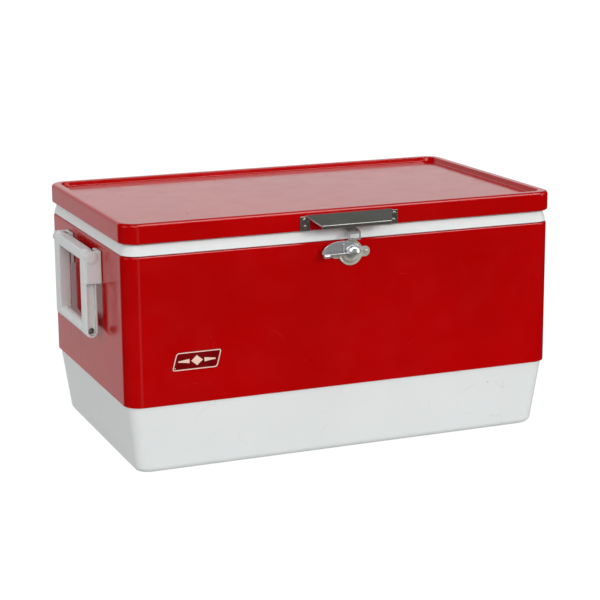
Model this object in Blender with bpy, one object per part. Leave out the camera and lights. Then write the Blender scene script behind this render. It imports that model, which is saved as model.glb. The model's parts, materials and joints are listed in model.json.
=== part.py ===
"""Vintage picnic cooler chest with a steel belt, a hinged steel lid, a turn latch and two swing handles.

Units are metres. +X runs along the length, the front faces -Y, and +Z is up.
The origin is the middle of the flat underside that the chest stands on.
"""

import math

import bmesh
import bpy
from mathutils import Matrix, Vector

MM = 0.001

# Driving dimensions of the whole chest
LENGTH = 571.5 * MM
DEPTH = 343.0 * MM
HEIGHT = 310.0 * MM
CORNER_RADIUS = 23.0 * MM
LEAST_CORNER = 14.0 * MM
CORNER_STEPS = 6
GAP = 0.3 * MM

# Levels, from the ground up
BELT_BOTTOM = 87.1 * MM
BELT_TOP = 270.7 * MM
LID_BOTTOM = 285.3 * MM
FLOOR_UNDER = 25.0 * MM
FLOOR_TOP = 28.0 * MM
TUB_LIP_TOP = 105.0 * MM

# Sheet steel, and how far each face is set in from the lid's outline
STEEL = 1.2 * MM
BELT_INSET = 1.5 * MM
ROLL_RADIUS = 3.0 * MM
BELT_LIP_INSET = 10.0 * MM
BELT_HEM_CORNER = 0.8 * MM
BASE_INSET = 4.9 * MM
BASE_FOOT_INSET = 14.5 * MM
BASE_FILLET = 10.0 * MM
TUB_WALL = 3.0 * MM
LINER_WALL = 3.0 * MM
LINER_INSET_TOP = 24.0 * MM
LINER_INSET_FOOT = 29.0 * MM
LINER_FILLET = 4.0 * MM
BAND_INSET_TOP = 6.0 * MM
BAND_INSET_FOOT = 2.3 * MM

# Lid
LID_EDGE_RADIUS = 4.5 * MM
LID_HEM_RADIUS = 2.5 * MM
LID_HEM_END = 5.0 * MM
RIM_SLOPE = 2.5 * MM
RIM_WIDTH = 11.0 * MM
PANEL_DROP = 6.0 * MM
PLUG_FOOT = 268.0 * MM
PLUG_INSET = 28.5 * MM
LID_FLANGE_UNDER = 287.5 * MM
LID_FLANGE = 1.7 * MM
PLUG_FILLET = 8.0 * MM
PLUG_DRAFT = 1.0 * MM
LID_WALL = 2.0 * MM

# Faces that the fittings stand on
BELT_FRONT = -(DEPTH / 2 - BELT_INSET)
LID_FRONT = -DEPTH / 2
BELT_SIDE = LENGTH / 2 - BELT_INSET
BELT_REAR = DEPTH / 2 - BELT_INSET
LID_REAR = DEPTH / 2

# Screws and rivets
SCREW_SHANK = 1.3 * MM
SCREW_HOLE = 1.7 * MM
LATCH_SCREW_HEAD = 3.0 * MM
HINGE_SCREW_HEAD = 3.0 * MM
PULL_SCREW_HEAD = 2.5 * MM
HASP_RIVET_HEAD = 2.3 * MM

# How far a cutter runs past the face that it cuts
PAST = 2.0 * MM

# Rear hinges
HINGE_X = 170.0 * MM
HINGE_HALF = 25.0 * MM
LEAF = 1.5 * MM
BARREL_RADIUS = 3.4 * MM
HINGE_AXIS = Vector((0.0, LID_REAR + GAP + BARREL_RADIUS, 281.0 * MM))
HINGE_PIN_RADIUS = 1.5 * MM
HINGE_BORE_RADIUS = 1.8 * MM
KNUCKLES = 5
KNUCKLE_PLAY = 0.2 * MM
LID_LEAF_TOP = 303.0 * MM
BELT_LEAF_FOOT = 246.0 * MM
LEAF_JOG_FOOT = 266.0 * MM
LEAF_JOG_TOP = 270.0 * MM
HINGE_SCREW_SPREAD = 15.0 * MM
LID_LEAF_SCREW_Z = 296.0 * MM
BELT_LEAF_SCREW_Z = 255.0 * MM

# Latch
LATCH_X = 2.5 * MM
LATCH_Z = 254.6 * MM
LATCH_DISC_RADIUS = 16.0 * MM
EAR_RADIUS = 6.5 * MM
EAR_REACH = 19.3 * MM
LATCH_PIVOT_RADIUS = 2.4 * MM
BOSS_RADIUS = 11.5 * MM
BOSS_FRONT = BELT_FRONT - 5.0 * MM
HUB_RADIUS = 5.0 * MM
HUB_BACK = BELT_FRONT - 5.3 * MM
LEVER_BACK = BELT_FRONT - 9.0 * MM
LEVER_FRONT = BELT_FRONT - 10.6 * MM
FLANGE_FRONT = BELT_FRONT - 15.0 * MM
CURL_FRONT = BELT_FRONT - 15.6 * MM
DOME_FRONT = BELT_FRONT - 16.0 * MM
DOME_RADIUS = 11.2 * MM
MOON_X = -13.0 * MM
MOON_LONG = 25.5 * MM
MOON_HIGH = 15.0 * MM
MOON_STEPS = 14
HASP_X = 1.9 * MM
HASP_HALF = 8.2 * MM

# Lid handle
PULL_X = 0.7 * MM
PULL_HALF = 64.6 * MM
PULL_TOP_HALF = 57.4 * MM
PULL_FRONT_HALF = 45.2 * MM
PULL_REACH = 25.0 * MM
PULL_TOP_Z = 303.5 * MM
PULL_FOOT_Z = 286.0 * MM
PULL_STRIP_Z = 300.2 * MM
PULL_AWNING_Z = 295.0 * MM
PULL_LIP_Z = 291.0 * MM
PULL_PLATE_INNER = 52.0 * MM

# Hasp
HASP_FRONT = BELT_FRONT - 15.8 * MM
HASP_TOP = 299.2 * MM
HASP_ROOT = 284.9 * MM
HASP_NOSE = 282.7 * MM
HASP_FOOT = 272.2 * MM
WINDOW_HALF = 6.3 * MM
WINDOW_LOW = 274.1 * MM
WINDOW_HIGH = 280.1 * MM
HASP_RIVET_LEVELS = (295.6 * MM, 289.6 * MM)

# Carry handles and their brackets, for the +X end; the other end mirrors them
ARM_X = 297.65 * MM
ARM_RADIUS = 8.0 * MM
ARM_OUTER_Y = 71.7 * MM
ARM_INNER_Y = 50.7 * MM
PIVOT_Z = 255.0 * MM
GRIP_Z = 161.5 * MM
BRACKET_FOOT = 222.0 * MM
BRACKET_TOP = 262.6 * MM
BRACKET_OUTER_Y = 76.0 * MM
BRACKET_REACH = 304.2 * MM
HANDLE_PIN_RADIUS = 3.4 * MM
HANDLE_BORE_RADIUS = 3.9 * MM
PIN_HEAD_RADIUS = 7.5 * MM
PIN_TIP_Y = 53.0 * MM
BRACKET_INNER_Y = 52.0 * MM
GRIP_RADIUS = 7.6 * MM
TOP_BAR_HALF = 6.9 * MM
TOP_BAR_CLIP = 2.4 * MM
CHANNEL_TOP = 236.0 * MM
CHANNEL_RADIUS = 5.0 * MM
CHANNEL_DEPTH = 5.0 * MM
CORE_RADIUS = 4.0 * MM
CORE_DEPTH = 17.0 * MM

# Badge
BADGE_X = -197.5 * MM
BADGE_Z = 139.9 * MM
BADGE_HALF_LENGTH = 28.85 * MM
BADGE_HALF_HEIGHT = 11.3 * MM
BADGE_SLANT = 3.0 * MM
BADGE_CLIP = 1.6 * MM
BADGE_THICKNESS = 0.8 * MM

# Drain, square to the sloping end wall of the base
DRAIN_Z = 38.0 * MM
BASE_WALL_TOP = 84.0 * MM
DRAIN_TILT = math.atan2(BASE_FOOT_INSET - BASE_INSET, BASE_WALL_TOP - BASE_FILLET)
DRAIN_BORE = 6.5 * MM
DRAIN_TUBE = 9.5 * MM
DRAIN_INNER_END = -16.5 * MM
DRAIN_FLANGE = 3.0 * MM
DRAIN_FLANGE_RADIUS = 15.0 * MM
DRAIN_MOUTH = 16.0 * MM
CAP_RADIUS = 13.2 * MM
CAP_TOP = 3.0 * MM
CAP_CLEARANCE = 0.4 * MM

# Colour, roughness and metallic value of each finish
FINISHES = {
    "red_enamel": ((0.42, 0.003, 0.004, 1.0), 0.18, 0.0),
    "white_plastic": ((0.72, 0.73, 0.72, 1.0), 0.42, 0.0),
    "handle_plastic": ((0.66, 0.68, 0.66, 1.0), 0.38, 0.0),
    "foam": ((0.80, 0.76, 0.60, 1.0), 0.90, 0.0),
    "seal_rubber": ((0.55, 0.55, 0.53, 1.0), 0.75, 0.0),
    "chrome": ((0.75, 0.76, 0.77, 1.0), 0.10, 1.0),
    "polished_steel": ((0.55, 0.56, 0.55, 1.0), 0.22, 1.0),
    "zinc_steel": ((0.50, 0.50, 0.49, 1.0), 0.35, 1.0),
    "badge_paint": ((0.20, 0.004, 0.006, 1.0), 0.30, 0.0),
}


# ---------------------------------------------------------------- mesh tools

def clear_scene():
    """Remove every object that is in the scene already."""
    for old in list(bpy.data.objects):
        bpy.data.objects.remove(old, do_unlink=True)


def new_object(name, bm, finish=None):
    """Turn a bmesh into a linked object with outward faces and its own material."""
    bmesh.ops.recalc_face_normals(bm, faces=bm.faces)
    if bm.calc_volume(signed=True) < 0:
        bmesh.ops.reverse_faces(bm, faces=bm.faces)
    mesh = bpy.data.meshes.new(name)
    bm.to_mesh(mesh)
    bm.free()
    thing = bpy.data.objects.new(name, mesh)
    bpy.context.scene.collection.objects.link(thing)
    if finish is not None:
        colour, roughness, metallic = FINISHES[finish]
        material = bpy.data.materials.new(f"{name}_{finish}")
        material.use_nodes = True
        shader = material.node_tree.nodes["Principled BSDF"]
        shader.inputs["Base Color"].default_value = colour
        shader.inputs["Roughness"].default_value = roughness
        shader.inputs["Metallic"].default_value = metallic
        mesh.materials.append(material)
    return thing


def smooth(thing, angle_deg=35.0):
    """Shade round faces smooth and leave real corners sharp."""
    thing.data.shade_smooth()
    thing.data.set_sharp_from_angle(angle=math.radians(angle_deg))
    return thing


def rounded_ring(bm, inset, z):
    """Vertices along the chest's outline, set in by `inset` from the lid's edge, at height z."""
    half_x = LENGTH / 2 - inset
    half_y = DEPTH / 2 - inset
    radius = max(CORNER_RADIUS - inset, LEAST_CORNER)
    verts = []
    for corner, (side_x, side_y) in enumerate(((1, 1), (-1, 1), (-1, -1), (1, -1))):
        for step in range(CORNER_STEPS + 1):
            angle = math.radians(90.0) * (corner + step / CORNER_STEPS)
            x = side_x * (half_x - radius) + radius * math.cos(angle)
            y = side_y * (half_y - radius) + radius * math.sin(angle)
            verts.append(bm.verts.new((x, y, z)))
    return verts


def join_rings(bm, lower, upper):
    """Quads between two rings, each vertex joined to the one beside it."""
    for index in range(len(lower)):
        bm.faces.new((lower[index - 1], lower[index], upper[index], upper[index - 1]))


def ring_solid(name, finish, profile, closed=False):
    """Sweep a profile of (inset, z) points round the chest's outline.

    A closed profile gives a hoop. An open one is capped at both ends, which gives a tray or a lid.
    """
    bm = bmesh.new()
    rings = [rounded_ring(bm, inset, z) for inset, z in profile]
    for lower, upper in zip(rings, rings[1:]):
        join_rings(bm, lower, upper)
    if closed:
        join_rings(bm, rings[-1], rings[0])
    else:
        bm.faces.new(reversed(rings[0]))
        bm.faces.new(rings[-1])
    return smooth(new_object(name, bm, finish))


def profile_arc(inset, z, radius, start_deg, end_deg, steps=3):
    """Points of (inset, z) on an arc about a centre; 0 degrees points outwards and 90 degrees up."""
    points = []
    for step in range(steps + 1):
        angle = math.radians(start_deg + (end_deg - start_deg) * step / steps)
        points.append((inset - radius * math.cos(angle), z + radius * math.sin(angle)))
    return points


def prism(name, finish, outline, axis, start, end):
    """Extrude a flat outline along an axis: (y, z) points for X, (x, z) for Y and (x, y) for Z."""
    def place(first, second, along):
        return {"X": (along, first, second), "Y": (first, along, second), "Z": (first, second, along)}[axis]

    bm = bmesh.new()
    verts = [bm.verts.new(place(first, second, start)) for first, second in outline]
    face = bm.faces.new(verts)
    made = bmesh.ops.extrude_face_region(bm, geom=[face])
    moved = [item for item in made["geom"] if isinstance(item, bmesh.types.BMVert)]
    bmesh.ops.translate(bm, verts=moved, vec=place(0.0, 0.0, end - start))
    return new_object(name, bm, finish)


def box(name, finish, low, high, bevel=0.0):
    """A block between two corners, with its edges bevelled if asked."""
    bm = bmesh.new()
    bmesh.ops.create_cube(bm, size=1.0)
    low, high = Vector(low), Vector(high)
    size = high - low
    bmesh.ops.scale(bm, vec=size, verts=bm.verts)
    bmesh.ops.translate(bm, vec=(low + high) / 2, verts=bm.verts)
    if bevel:
        bmesh.ops.bevel(bm, geom=bm.edges, offset=bevel, segments=2, profile=0.5, affect="EDGES",
                        material=-1)
    return new_object(name, bm, finish)


def lathe(name, finish, profile, steps=16):
    """Spin a profile of (radius, height) points about +Z; points on the axis close the ends."""
    bm = bmesh.new()
    verts = [bm.verts.new((radius, 0.0, height)) for radius, height in profile]
    edges = [bm.edges.new(pair) for pair in zip(verts, verts[1:])]
    bmesh.ops.spin(bm, geom=verts + edges, cent=(0, 0, 0), axis=(0, 0, 1), dvec=(0, 0, 0),
                   angle=math.radians(360.0), steps=steps, use_merge=True, use_duplicate=False)
    bmesh.ops.remove_doubles(bm, verts=bm.verts, dist=0.001 * MM)
    return smooth(new_object(name, bm, finish))


def rod(name, finish, radius, start, end, steps=16):
    """A round bar between two points."""
    start, end = Vector(start), Vector(end)
    length = (end - start).length
    bar = lathe(name, finish, [(0, 0), (radius, 0), (radius, length), (0, length)], steps)
    return stand(bar, start, end - start)


def stand(thing, place, direction):
    """Put a lathed piece's foot at a place, with its +Z along a direction."""
    turn = Vector(direction).to_track_quat("Z", "Y").to_matrix().to_4x4()
    thing.matrix_world = Matrix.Translation(place) @ turn
    return thing


def settle(thing):
    """Replace a piece's modifiers by the mesh that they give."""
    bpy.context.view_layer.update()
    depsgraph = bpy.context.evaluated_depsgraph_get()
    thing.data = bpy.data.meshes.new_from_object(thing.evaluated_get(depsgraph))
    thing.modifiers.clear()
    return smooth(thing)


def combine(thing, tools, operation):
    """Join tools to a piece (UNION) or cut them from it (DIFFERENCE), then remove the tools."""
    for tool in tools:
        modifier = thing.modifiers.new(operation.lower(), "BOOLEAN")
        modifier.operation = operation
        modifier.solver = "EXACT"
        modifier.object = tool
    settle(thing)
    for tool in tools:
        bpy.data.objects.remove(tool, do_unlink=True)
    return thing


def hang_on_axis(name, place, pieces):
    """Parent moving pieces to an empty on their joint's axis."""
    pivot = bpy.data.objects.new(name, None)
    pivot.location = place
    bpy.context.scene.collection.objects.link(pivot)
    for piece in pieces:
        piece.parent = pivot
        piece.matrix_parent_inverse = Matrix.Translation(place).inverted()


def capsule(centre_a, centre_b, radius, steps=8):
    """Outline of a bar with round ends, as two-dimensional points."""
    across = Vector(centre_b) - Vector(centre_a)
    start = math.degrees(math.atan2(across.y, across.x)) - 90.0
    points = []
    for centre, first in ((centre_b, start), (centre_a, start + 180.0)):
        for step in range(steps + 1):
            angle = math.radians(first + 180.0 * step / steps)
            points.append((centre[0] + radius * math.cos(angle), centre[1] + radius * math.sin(angle)))
    return points


def rounded_square(x, z, half, clip):
    """Outline of a square bar with its corners taken off."""
    points = []
    for side_x, side_z in ((1, 1), (-1, 1), (-1, -1), (1, -1)):
        flat = (x + side_x * half, z + side_z * (half - clip))
        upright = (x + side_x * (half - clip), z + side_z * half)
        points += [flat, upright] if side_x * side_z > 0 else [upright, flat]
    return points


# ---------------------------------------------------------------- chest

def make_body_shell():
    """Steel belt: a rolled top edge with a lip, and a hem turned in over the base."""
    roll_inset = BELT_INSET + ROLL_RADIUS
    roll_z = BELT_TOP - ROLL_RADIUS
    hem_end = BASE_INSET - GAP - 0.05 * MM
    corner = BELT_HEM_CORNER
    outside = [(hem_end, BELT_BOTTOM), (BELT_INSET + corner, BELT_BOTTOM)]
    outside += [(BELT_INSET, BELT_BOTTOM + corner)]
    outside += profile_arc(roll_inset, roll_z, ROLL_RADIUS, 0, 90)
    lip = [(BELT_LIP_INSET, BELT_TOP), (BELT_LIP_INSET, BELT_TOP - STEEL)]
    inside = profile_arc(roll_inset, roll_z, ROLL_RADIUS - STEEL, 90, 0)
    inside += [(BELT_INSET + STEEL, BELT_BOTTOM + STEEL), (hem_end, BELT_BOTTOM + STEEL)]
    return ring_solid("body_shell", "red_enamel", outside + lip + inside, closed=True)


def make_base_tub():
    """Plastic tray with a rounded foot; its lip stands up inside the belt."""
    centre = BASE_FOOT_INSET + BASE_FILLET
    outside = profile_arc(centre, BASE_FILLET, BASE_FILLET, -90, 0)
    outside += [(BASE_INSET, BASE_WALL_TOP), (BASE_INSET, TUB_LIP_TOP)]
    inside = [(BASE_INSET + TUB_WALL, TUB_LIP_TOP), (BASE_INSET + TUB_WALL, BASE_WALL_TOP)]
    inside += profile_arc(centre, BASE_FILLET, BASE_FILLET - TUB_WALL, 0, -90)
    return ring_solid("base_tub", "white_plastic", outside + inside)


def make_inner_liner():
    """Plastic tub; its rim is the white band between belt and lid."""
    fillet = LINER_FILLET
    outside = profile_arc(LINER_INSET_FOOT + fillet, FLOOR_UNDER + fillet, fillet, -90, 0)
    band_foot = BELT_TOP + GAP
    band_top = LID_BOTTOM - GAP
    rim = [(LINER_INSET_TOP, band_foot), (BAND_INSET_FOOT, band_foot)]
    rim += [(BAND_INSET_FOOT + 0.5 * MM, band_foot + 4.0 * MM)]
    rim += [(BAND_INSET_TOP - 1.5 * MM, band_top - 4.0 * MM)]
    rim += [(BAND_INSET_TOP, band_top - 0.6 * MM), (BAND_INSET_TOP + 0.8 * MM, band_top)]
    mouth = LINER_INSET_TOP + LINER_WALL
    rim += [(mouth - 1.2 * MM, band_top), (mouth, band_top - 1.2 * MM)]
    inner_fillet = fillet - 1.0 * MM
    centre = LINER_INSET_FOOT + LINER_WALL + inner_fillet
    inside = profile_arc(centre, FLOOR_TOP + inner_fillet, inner_fillet, 0, -90)
    return ring_solid("inner_liner", "white_plastic", outside + rim + inside)


def make_body_insulation():
    """Foam between the base, the belt and the liner."""
    centre = BASE_FOOT_INSET + BASE_FILLET
    outside = profile_arc(centre, BASE_FILLET, BASE_FILLET - TUB_WALL - GAP, -90, 0)
    step_inset = BASE_INSET + TUB_WALL + GAP
    belt_inset = BELT_INSET + STEEL + GAP
    foam_top = BELT_TOP - STEEL - GAP
    outside += [(step_inset, BASE_WALL_TOP), (step_inset, TUB_LIP_TOP + GAP)]
    outside += [(belt_inset, TUB_LIP_TOP + GAP)]
    outside += [(belt_inset, BELT_TOP - ROLL_RADIUS), (BELT_INSET + ROLL_RADIUS, foam_top)]
    fillet = LINER_FILLET
    inside = [(LINER_INSET_TOP - GAP, foam_top)]
    inside += profile_arc(LINER_INSET_FOOT + fillet, FLOOR_UNDER + fillet, fillet + GAP, 0, -90)
    return ring_solid("body_insulation", "foam", outside + inside)


def make_badge():
    """Slanted plate with clipped corners, low on the left of the front."""
    lean = BADGE_SLANT / BADGE_HALF_HEIGHT
    outline = []
    for side_x, side_z in ((-1, -1), (1, -1), (1, 1), (-1, 1)):
        x = BADGE_X + side_x * BADGE_HALF_LENGTH + side_z * BADGE_SLANT
        z = BADGE_Z + side_z * BADGE_HALF_HEIGHT
        along = (x - side_x * BADGE_CLIP, z)
        upward = (x - side_z * BADGE_CLIP * lean, z - side_z * BADGE_CLIP)
        outline += [upward, along] if side_x * side_z > 0 else [along, upward]
    front = BELT_FRONT - GAP
    return prism("front_badge", "badge_paint", outline, "Y", front, front - BADGE_THICKNESS)


def make_screw(name, finish, place, direction, head, shank, depth):
    """Domed screw: the head stands proud along the direction, and the shank fills the hole below."""
    profile = [(0, -depth), (shank, -depth), (shank, 0), (head, 0), (head, 0.25 * head)]
    profile += [(0.72 * head, 0.52 * head), (0, 0.62 * head)]
    return stand(lathe(name, finish, profile, steps=12), place, direction)


def fasten(plate, finish, names, spots, direction, head):
    """Drill a plate at each spot on its outer face, and put a named screw in each hole."""
    direction = Vector(direction)
    drills = []
    for spot in spots:
        start = Vector(spot) - direction * 2 * PAST
        drills.append(rod("drill", None, SCREW_HOLE, start, Vector(spot) + direction * PAST, 12))
    combine(plate, drills, "DIFFERENCE")
    lift = direction * GAP
    depth = LEAF + GAP
    return [make_screw(name, finish, Vector(spot) + lift, direction, head, SCREW_SHANK, depth)
            for name, spot in zip(names, spots)]


def latch_rod(name, finish, radius, back, front, steps):
    """A round bar on the latch's axis between two distances along Y."""
    return rod(name, finish, radius, (LATCH_X, back, LATCH_Z), (LATCH_X, front, LATCH_Z), steps)


def make_latch_base():
    """Round plate with two ears and a raised boss, drilled for the pivot and the two screws."""
    front = BELT_FRONT - GAP
    plate_front = front - LEAF
    base = latch_rod("latch_base", "chrome", LATCH_DISC_RADIUS, front, plate_front, 28)
    ear_outline = capsule((LATCH_X - EAR_REACH, LATCH_Z), (LATCH_X + EAR_REACH, LATCH_Z), EAR_RADIUS)
    ears = prism("ears", None, ear_outline, "Y", front, plate_front)
    boss = latch_rod("boss", None, BOSS_RADIUS, front - LEAF / 2, BOSS_FRONT, 24)
    combine(base, [ears, boss], "UNION")
    drill = latch_rod("drill", None, LATCH_PIVOT_RADIUS + GAP, front + PAST, BOSS_FRONT - PAST, 16)
    combine(base, [drill], "DIFFERENCE")
    spots = [(LATCH_X + side * (EAR_REACH + 0.8 * MM), plate_front, LATCH_Z) for side in (-1, 1)]
    fasten(base, "chrome", ("latch_screw_left", "latch_screw_right"), spots, (0, -1, 0), LATCH_SCREW_HEAD)
    return base


def make_latch_lever():
    """Half-moon lever with a flange along its straight edge, a domed hub, and a curled tip on the left."""
    edge_z = LATCH_Z + 1.7 * MM
    turns = [math.pi * step / MOON_STEPS for step in range(MOON_STEPS + 1)]
    moon = [(MOON_X + MOON_LONG * math.cos(turn), edge_z + MOON_HIGH * math.sin(turn)) for turn in turns]
    lever = prism("latch_lever", "chrome", moon, "Y", LEVER_BACK, LEVER_FRONT)
    hub = latch_rod("hub", None, HUB_RADIUS, HUB_BACK, LEVER_FRONT + 0.2 * MM, 20)
    flange = box("flange", None, (-35.0 * MM, FLANGE_FRONT, edge_z - 0.8 * MM),
                 (11.4 * MM, LEVER_BACK - 0.3 * MM, edge_z + 0.7 * MM))
    curl = box("curl", None, (-37.5 * MM, CURL_FRONT, edge_z - 4.5 * MM),
               (-29.5 * MM, CURL_FRONT + LEAF, edge_z + 0.5 * MM))
    dome_high = LEVER_FRONT - DOME_FRONT
    dome_profile = [(0, -0.6 * MM), (DOME_RADIUS, -0.6 * MM)]
    for angle in (0, 25, 50, 72):
        turn = math.radians(angle)
        dome_profile.append((DOME_RADIUS * math.cos(turn), dome_high * math.sin(turn)))
    dome_profile += [(0, dome_high)]
    dome = stand(lathe("dome", None, dome_profile, 20), (LATCH_X, LEVER_FRONT, edge_z), (0, -1, 0))
    below = box("below", None, (-20 * MM, DOME_FRONT - PAST, edge_z - DOME_RADIUS - PAST),
                (20 * MM, LEVER_FRONT + PAST, edge_z - 0.1 * MM))
    combine(dome, [below], "DIFFERENCE")
    combine(lever, [hub, dome, flange, curl], "UNION")
    bore = latch_rod("bore", None, LATCH_PIVOT_RADIUS + GAP, BELT_FRONT, DOME_FRONT - 2 * PAST, 16)
    combine(lever, [bore], "DIFFERENCE")
    hang_on_axis("latch_axis", Vector((LATCH_X, BELT_FRONT, LATCH_Z)), [lever])
    return lever


def make_latch_pivot():
    """Rivet through the base and the lever's hub, its end flush with the lever's face."""
    foot = BELT_FRONT - GAP
    length = foot - LEVER_FRONT + GAP
    profile = [(0, 0), (LATCH_PIVOT_RADIUS, 0), (LATCH_PIVOT_RADIUS, length), (0, length)]
    return stand(lathe("latch_pivot", "chrome", profile, 16), (LATCH_X, foot, LATCH_Z), (0, -1, 0))


def make_bracket_set(end, end_name):
    """Two bracket blocks, two pivot pins and the handle of one end; end is -1 or +1."""
    inner_x = BELT_SIDE + GAP
    leg_x = ARM_X - ARM_RADIUS - 0.4 * MM
    flange_inner = ARM_OUTER_Y + GAP
    for side, side_name in ((-1, "front"), (1, "rear")):
        low_x, high_x = sorted((end * inner_x, end * BRACKET_REACH))
        low_y, high_y = sorted((side * flange_inner, side * BRACKET_OUTER_Y))
        bracket = box(f"{end_name}_{side_name}_bracket", "handle_plastic", (low_x, low_y, BRACKET_FOOT),
                      (high_x, high_y, BRACKET_TOP), bevel=1.0 * MM)
        low_x, high_x = sorted((end * inner_x, end * leg_x))
        low_y, high_y = sorted((side * BRACKET_INNER_Y, side * (BRACKET_OUTER_Y - 1.2 * MM)))
        leg = box("leg", None, (low_x, low_y, BRACKET_FOOT + 0.5 * MM),
                  (high_x, high_y, BRACKET_TOP - 0.5 * MM))
        combine(bracket, [leg], "UNION")
        outer = Vector((end * ARM_X, side * (BRACKET_OUTER_Y + GAP), PIVOT_Z))
        drill_end = Vector((end * ARM_X, side * (flange_inner - PAST), PIVOT_Z))
        drill_start = outer + Vector((0, side * PAST, 0))
        drill = rod("drill", None, HANDLE_PIN_RADIUS + GAP, drill_start, drill_end, 16)
        combine(bracket, [drill], "DIFFERENCE")
        depth = BRACKET_OUTER_Y + GAP - PIN_TIP_Y
        head = PIN_HEAD_RADIUS
        profile = [(0, -depth), (HANDLE_PIN_RADIUS, -depth), (HANDLE_PIN_RADIUS, 0), (head, 0)]
        profile += [(head, 1.2 * MM), (0.86 * head, 2.1 * MM), (0, 2.5 * MM)]
        stand(lathe(f"{end_name}_{side_name}_pivot", "handle_plastic", profile, 20), outer, (0, side, 0))
    make_carry_handle(end, end_name)


def make_carry_handle(end, end_name):
    """Closed loop: two channelled arms, a round grip below and a bar between the pivots above."""
    x = end * ARM_X
    arm_outline = capsule((x, GRIP_Z), (x, PIVOT_Z), ARM_RADIUS)
    channel_outline = capsule((x, GRIP_Z), (x, CHANNEL_TOP), CHANNEL_RADIUS, steps=6)
    handle = prism(f"{end_name}_carry_handle", "handle_plastic", arm_outline, "Y", -ARM_OUTER_Y,
                   -ARM_INNER_Y)
    rear_arm = prism("rear_arm", None, arm_outline, "Y", ARM_INNER_Y, ARM_OUTER_Y)
    inside_y = ARM_INNER_Y + 3.0 * MM
    grip = rod("grip", None, GRIP_RADIUS, (x, -inside_y, GRIP_Z), (x, inside_y, GRIP_Z), 16)
    top_outline = rounded_square(x, PIVOT_Z, TOP_BAR_HALF, TOP_BAR_CLIP)
    top = prism("top", None, top_outline, "Y", -inside_y, inside_y)
    combine(handle, [rear_arm, grip, top], "UNION")
    tools = []
    for side in (-1, 1):
        face = side * (ARM_OUTER_Y + 1.0 * MM)
        channel_floor = side * (ARM_OUTER_Y - CHANNEL_DEPTH)
        tools.append(prism("channel", None, channel_outline, "Y", face, channel_floor))
        core_start = (x, channel_floor + side * PAST, GRIP_Z)
        core_end = (x, side * (ARM_OUTER_Y - CORE_DEPTH), GRIP_Z)
        tools.append(rod("core", None, CORE_RADIUS, core_start, core_end, 16))
        bore_end = (x, side * (PIN_TIP_Y - 1.5 * MM), PIVOT_Z)
        tools.append(rod("bore", None, HANDLE_BORE_RADIUS, (x, face, PIVOT_Z), bore_end, 16))
    combine(handle, tools, "DIFFERENCE")
    hang_on_axis(f"{end_name}_handle_axis", Vector((x, 0, PIVOT_Z)), [handle])


# ---------------------------------------------------------------- drain

def drain_point(along):
    """A point on the drain's axis, measured outwards from the base's end wall."""
    inset = BASE_FOOT_INSET - (DRAIN_Z - BASE_FILLET) * math.tan(DRAIN_TILT)
    return Vector((LENGTH / 2 - inset, 0, DRAIN_Z)) + along * drain_axis()


def drain_axis():
    """Direction in which the drain points: square to the end wall, so a little downwards."""
    return Vector((math.cos(DRAIN_TILT), 0, -math.sin(DRAIN_TILT)))


def make_drain(base_tub, foam, liner):
    """Flanged spout through base and foam, its cap, and the holes that they need."""
    inner_end = DRAIN_INNER_END
    clear = DRAIN_TUBE + GAP
    holes = ((base_tub, clear, -30, 5), (foam, clear, -22, 5), (liner, DRAIN_BORE, -30, -12))
    for piece, radius, start, end in holes:
        drill = rod("drill", None, radius, drain_point(start * MM), drain_point(end * MM), 20)
        combine(piece, [drill], "DIFFERENCE")
    flange_front, mouth = DRAIN_FLANGE, DRAIN_MOUTH
    wall = [(DRAIN_BORE, inner_end), (DRAIN_TUBE, inner_end), (DRAIN_TUBE, GAP), (DRAIN_FLANGE_RADIUS, GAP)]
    wall += [(DRAIN_FLANGE_RADIUS, flange_front - 0.8 * MM), (DRAIN_FLANGE_RADIUS - 0.8 * MM, flange_front)]
    wall += [(DRAIN_TUBE, flange_front)]
    wall += [(DRAIN_TUBE, mouth), (DRAIN_BORE, mouth), (DRAIN_BORE, inner_end)]
    stand(lathe("drain_fitting", "white_plastic", wall, 20), drain_point(0), drain_axis())
    foot, top = flange_front + CAP_CLEARANCE, mouth + CAP_TOP
    inside, outside = DRAIN_TUBE + CAP_CLEARANCE, CAP_RADIUS
    cup = [(0, mouth + CAP_CLEARANCE), (inside, mouth + CAP_CLEARANCE), (inside, foot), (outside, foot)]
    cup += [(outside, top - 1.5 * MM), (outside - 1.5 * MM, top), (0, top)]
    cap = stand(lathe("drain_cap", "white_plastic", cup, 20), (0, 0, 0), drain_axis())
    cap.location = drain_point(0)


# ---------------------------------------------------------------- lid

def make_lid_shell():
    """Steel pan: raised rim round a sunk panel, rounded top edge, and a lower edge rolled in."""
    rim_z = HEIGHT
    panel_z = HEIGHT - PANEL_DROP
    edge, hem = LID_EDGE_RADIUS, LID_HEM_RADIUS
    hem_z = LID_BOTTOM + hem
    outside = [(RIM_WIDTH + RIM_SLOPE, panel_z), (RIM_WIDTH, rim_z - 1.0 * MM)]
    outside += [(RIM_WIDTH - 1.5 * MM, rim_z)]
    outside += profile_arc(edge, rim_z - edge, edge, 90, 0, steps=4)
    outside += profile_arc(hem, hem_z, hem, 0, -90)
    outside += [(LID_HEM_END, LID_BOTTOM), (LID_HEM_END, LID_BOTTOM + STEEL)]
    inside = profile_arc(hem, hem_z, hem - STEEL, -90, 0)
    inside += profile_arc(edge, rim_z - edge, edge - STEEL, 0, 90, steps=4)
    inside += [(RIM_WIDTH - 2.1 * MM, rim_z - STEEL), (RIM_WIDTH - 1.3 * MM, rim_z - STEEL - 0.5 * MM)]
    inside += [(RIM_WIDTH + RIM_SLOPE - 0.9 * MM, panel_z - STEEL)]
    return ring_solid("lid_shell", "red_enamel", outside + inside)


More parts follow.
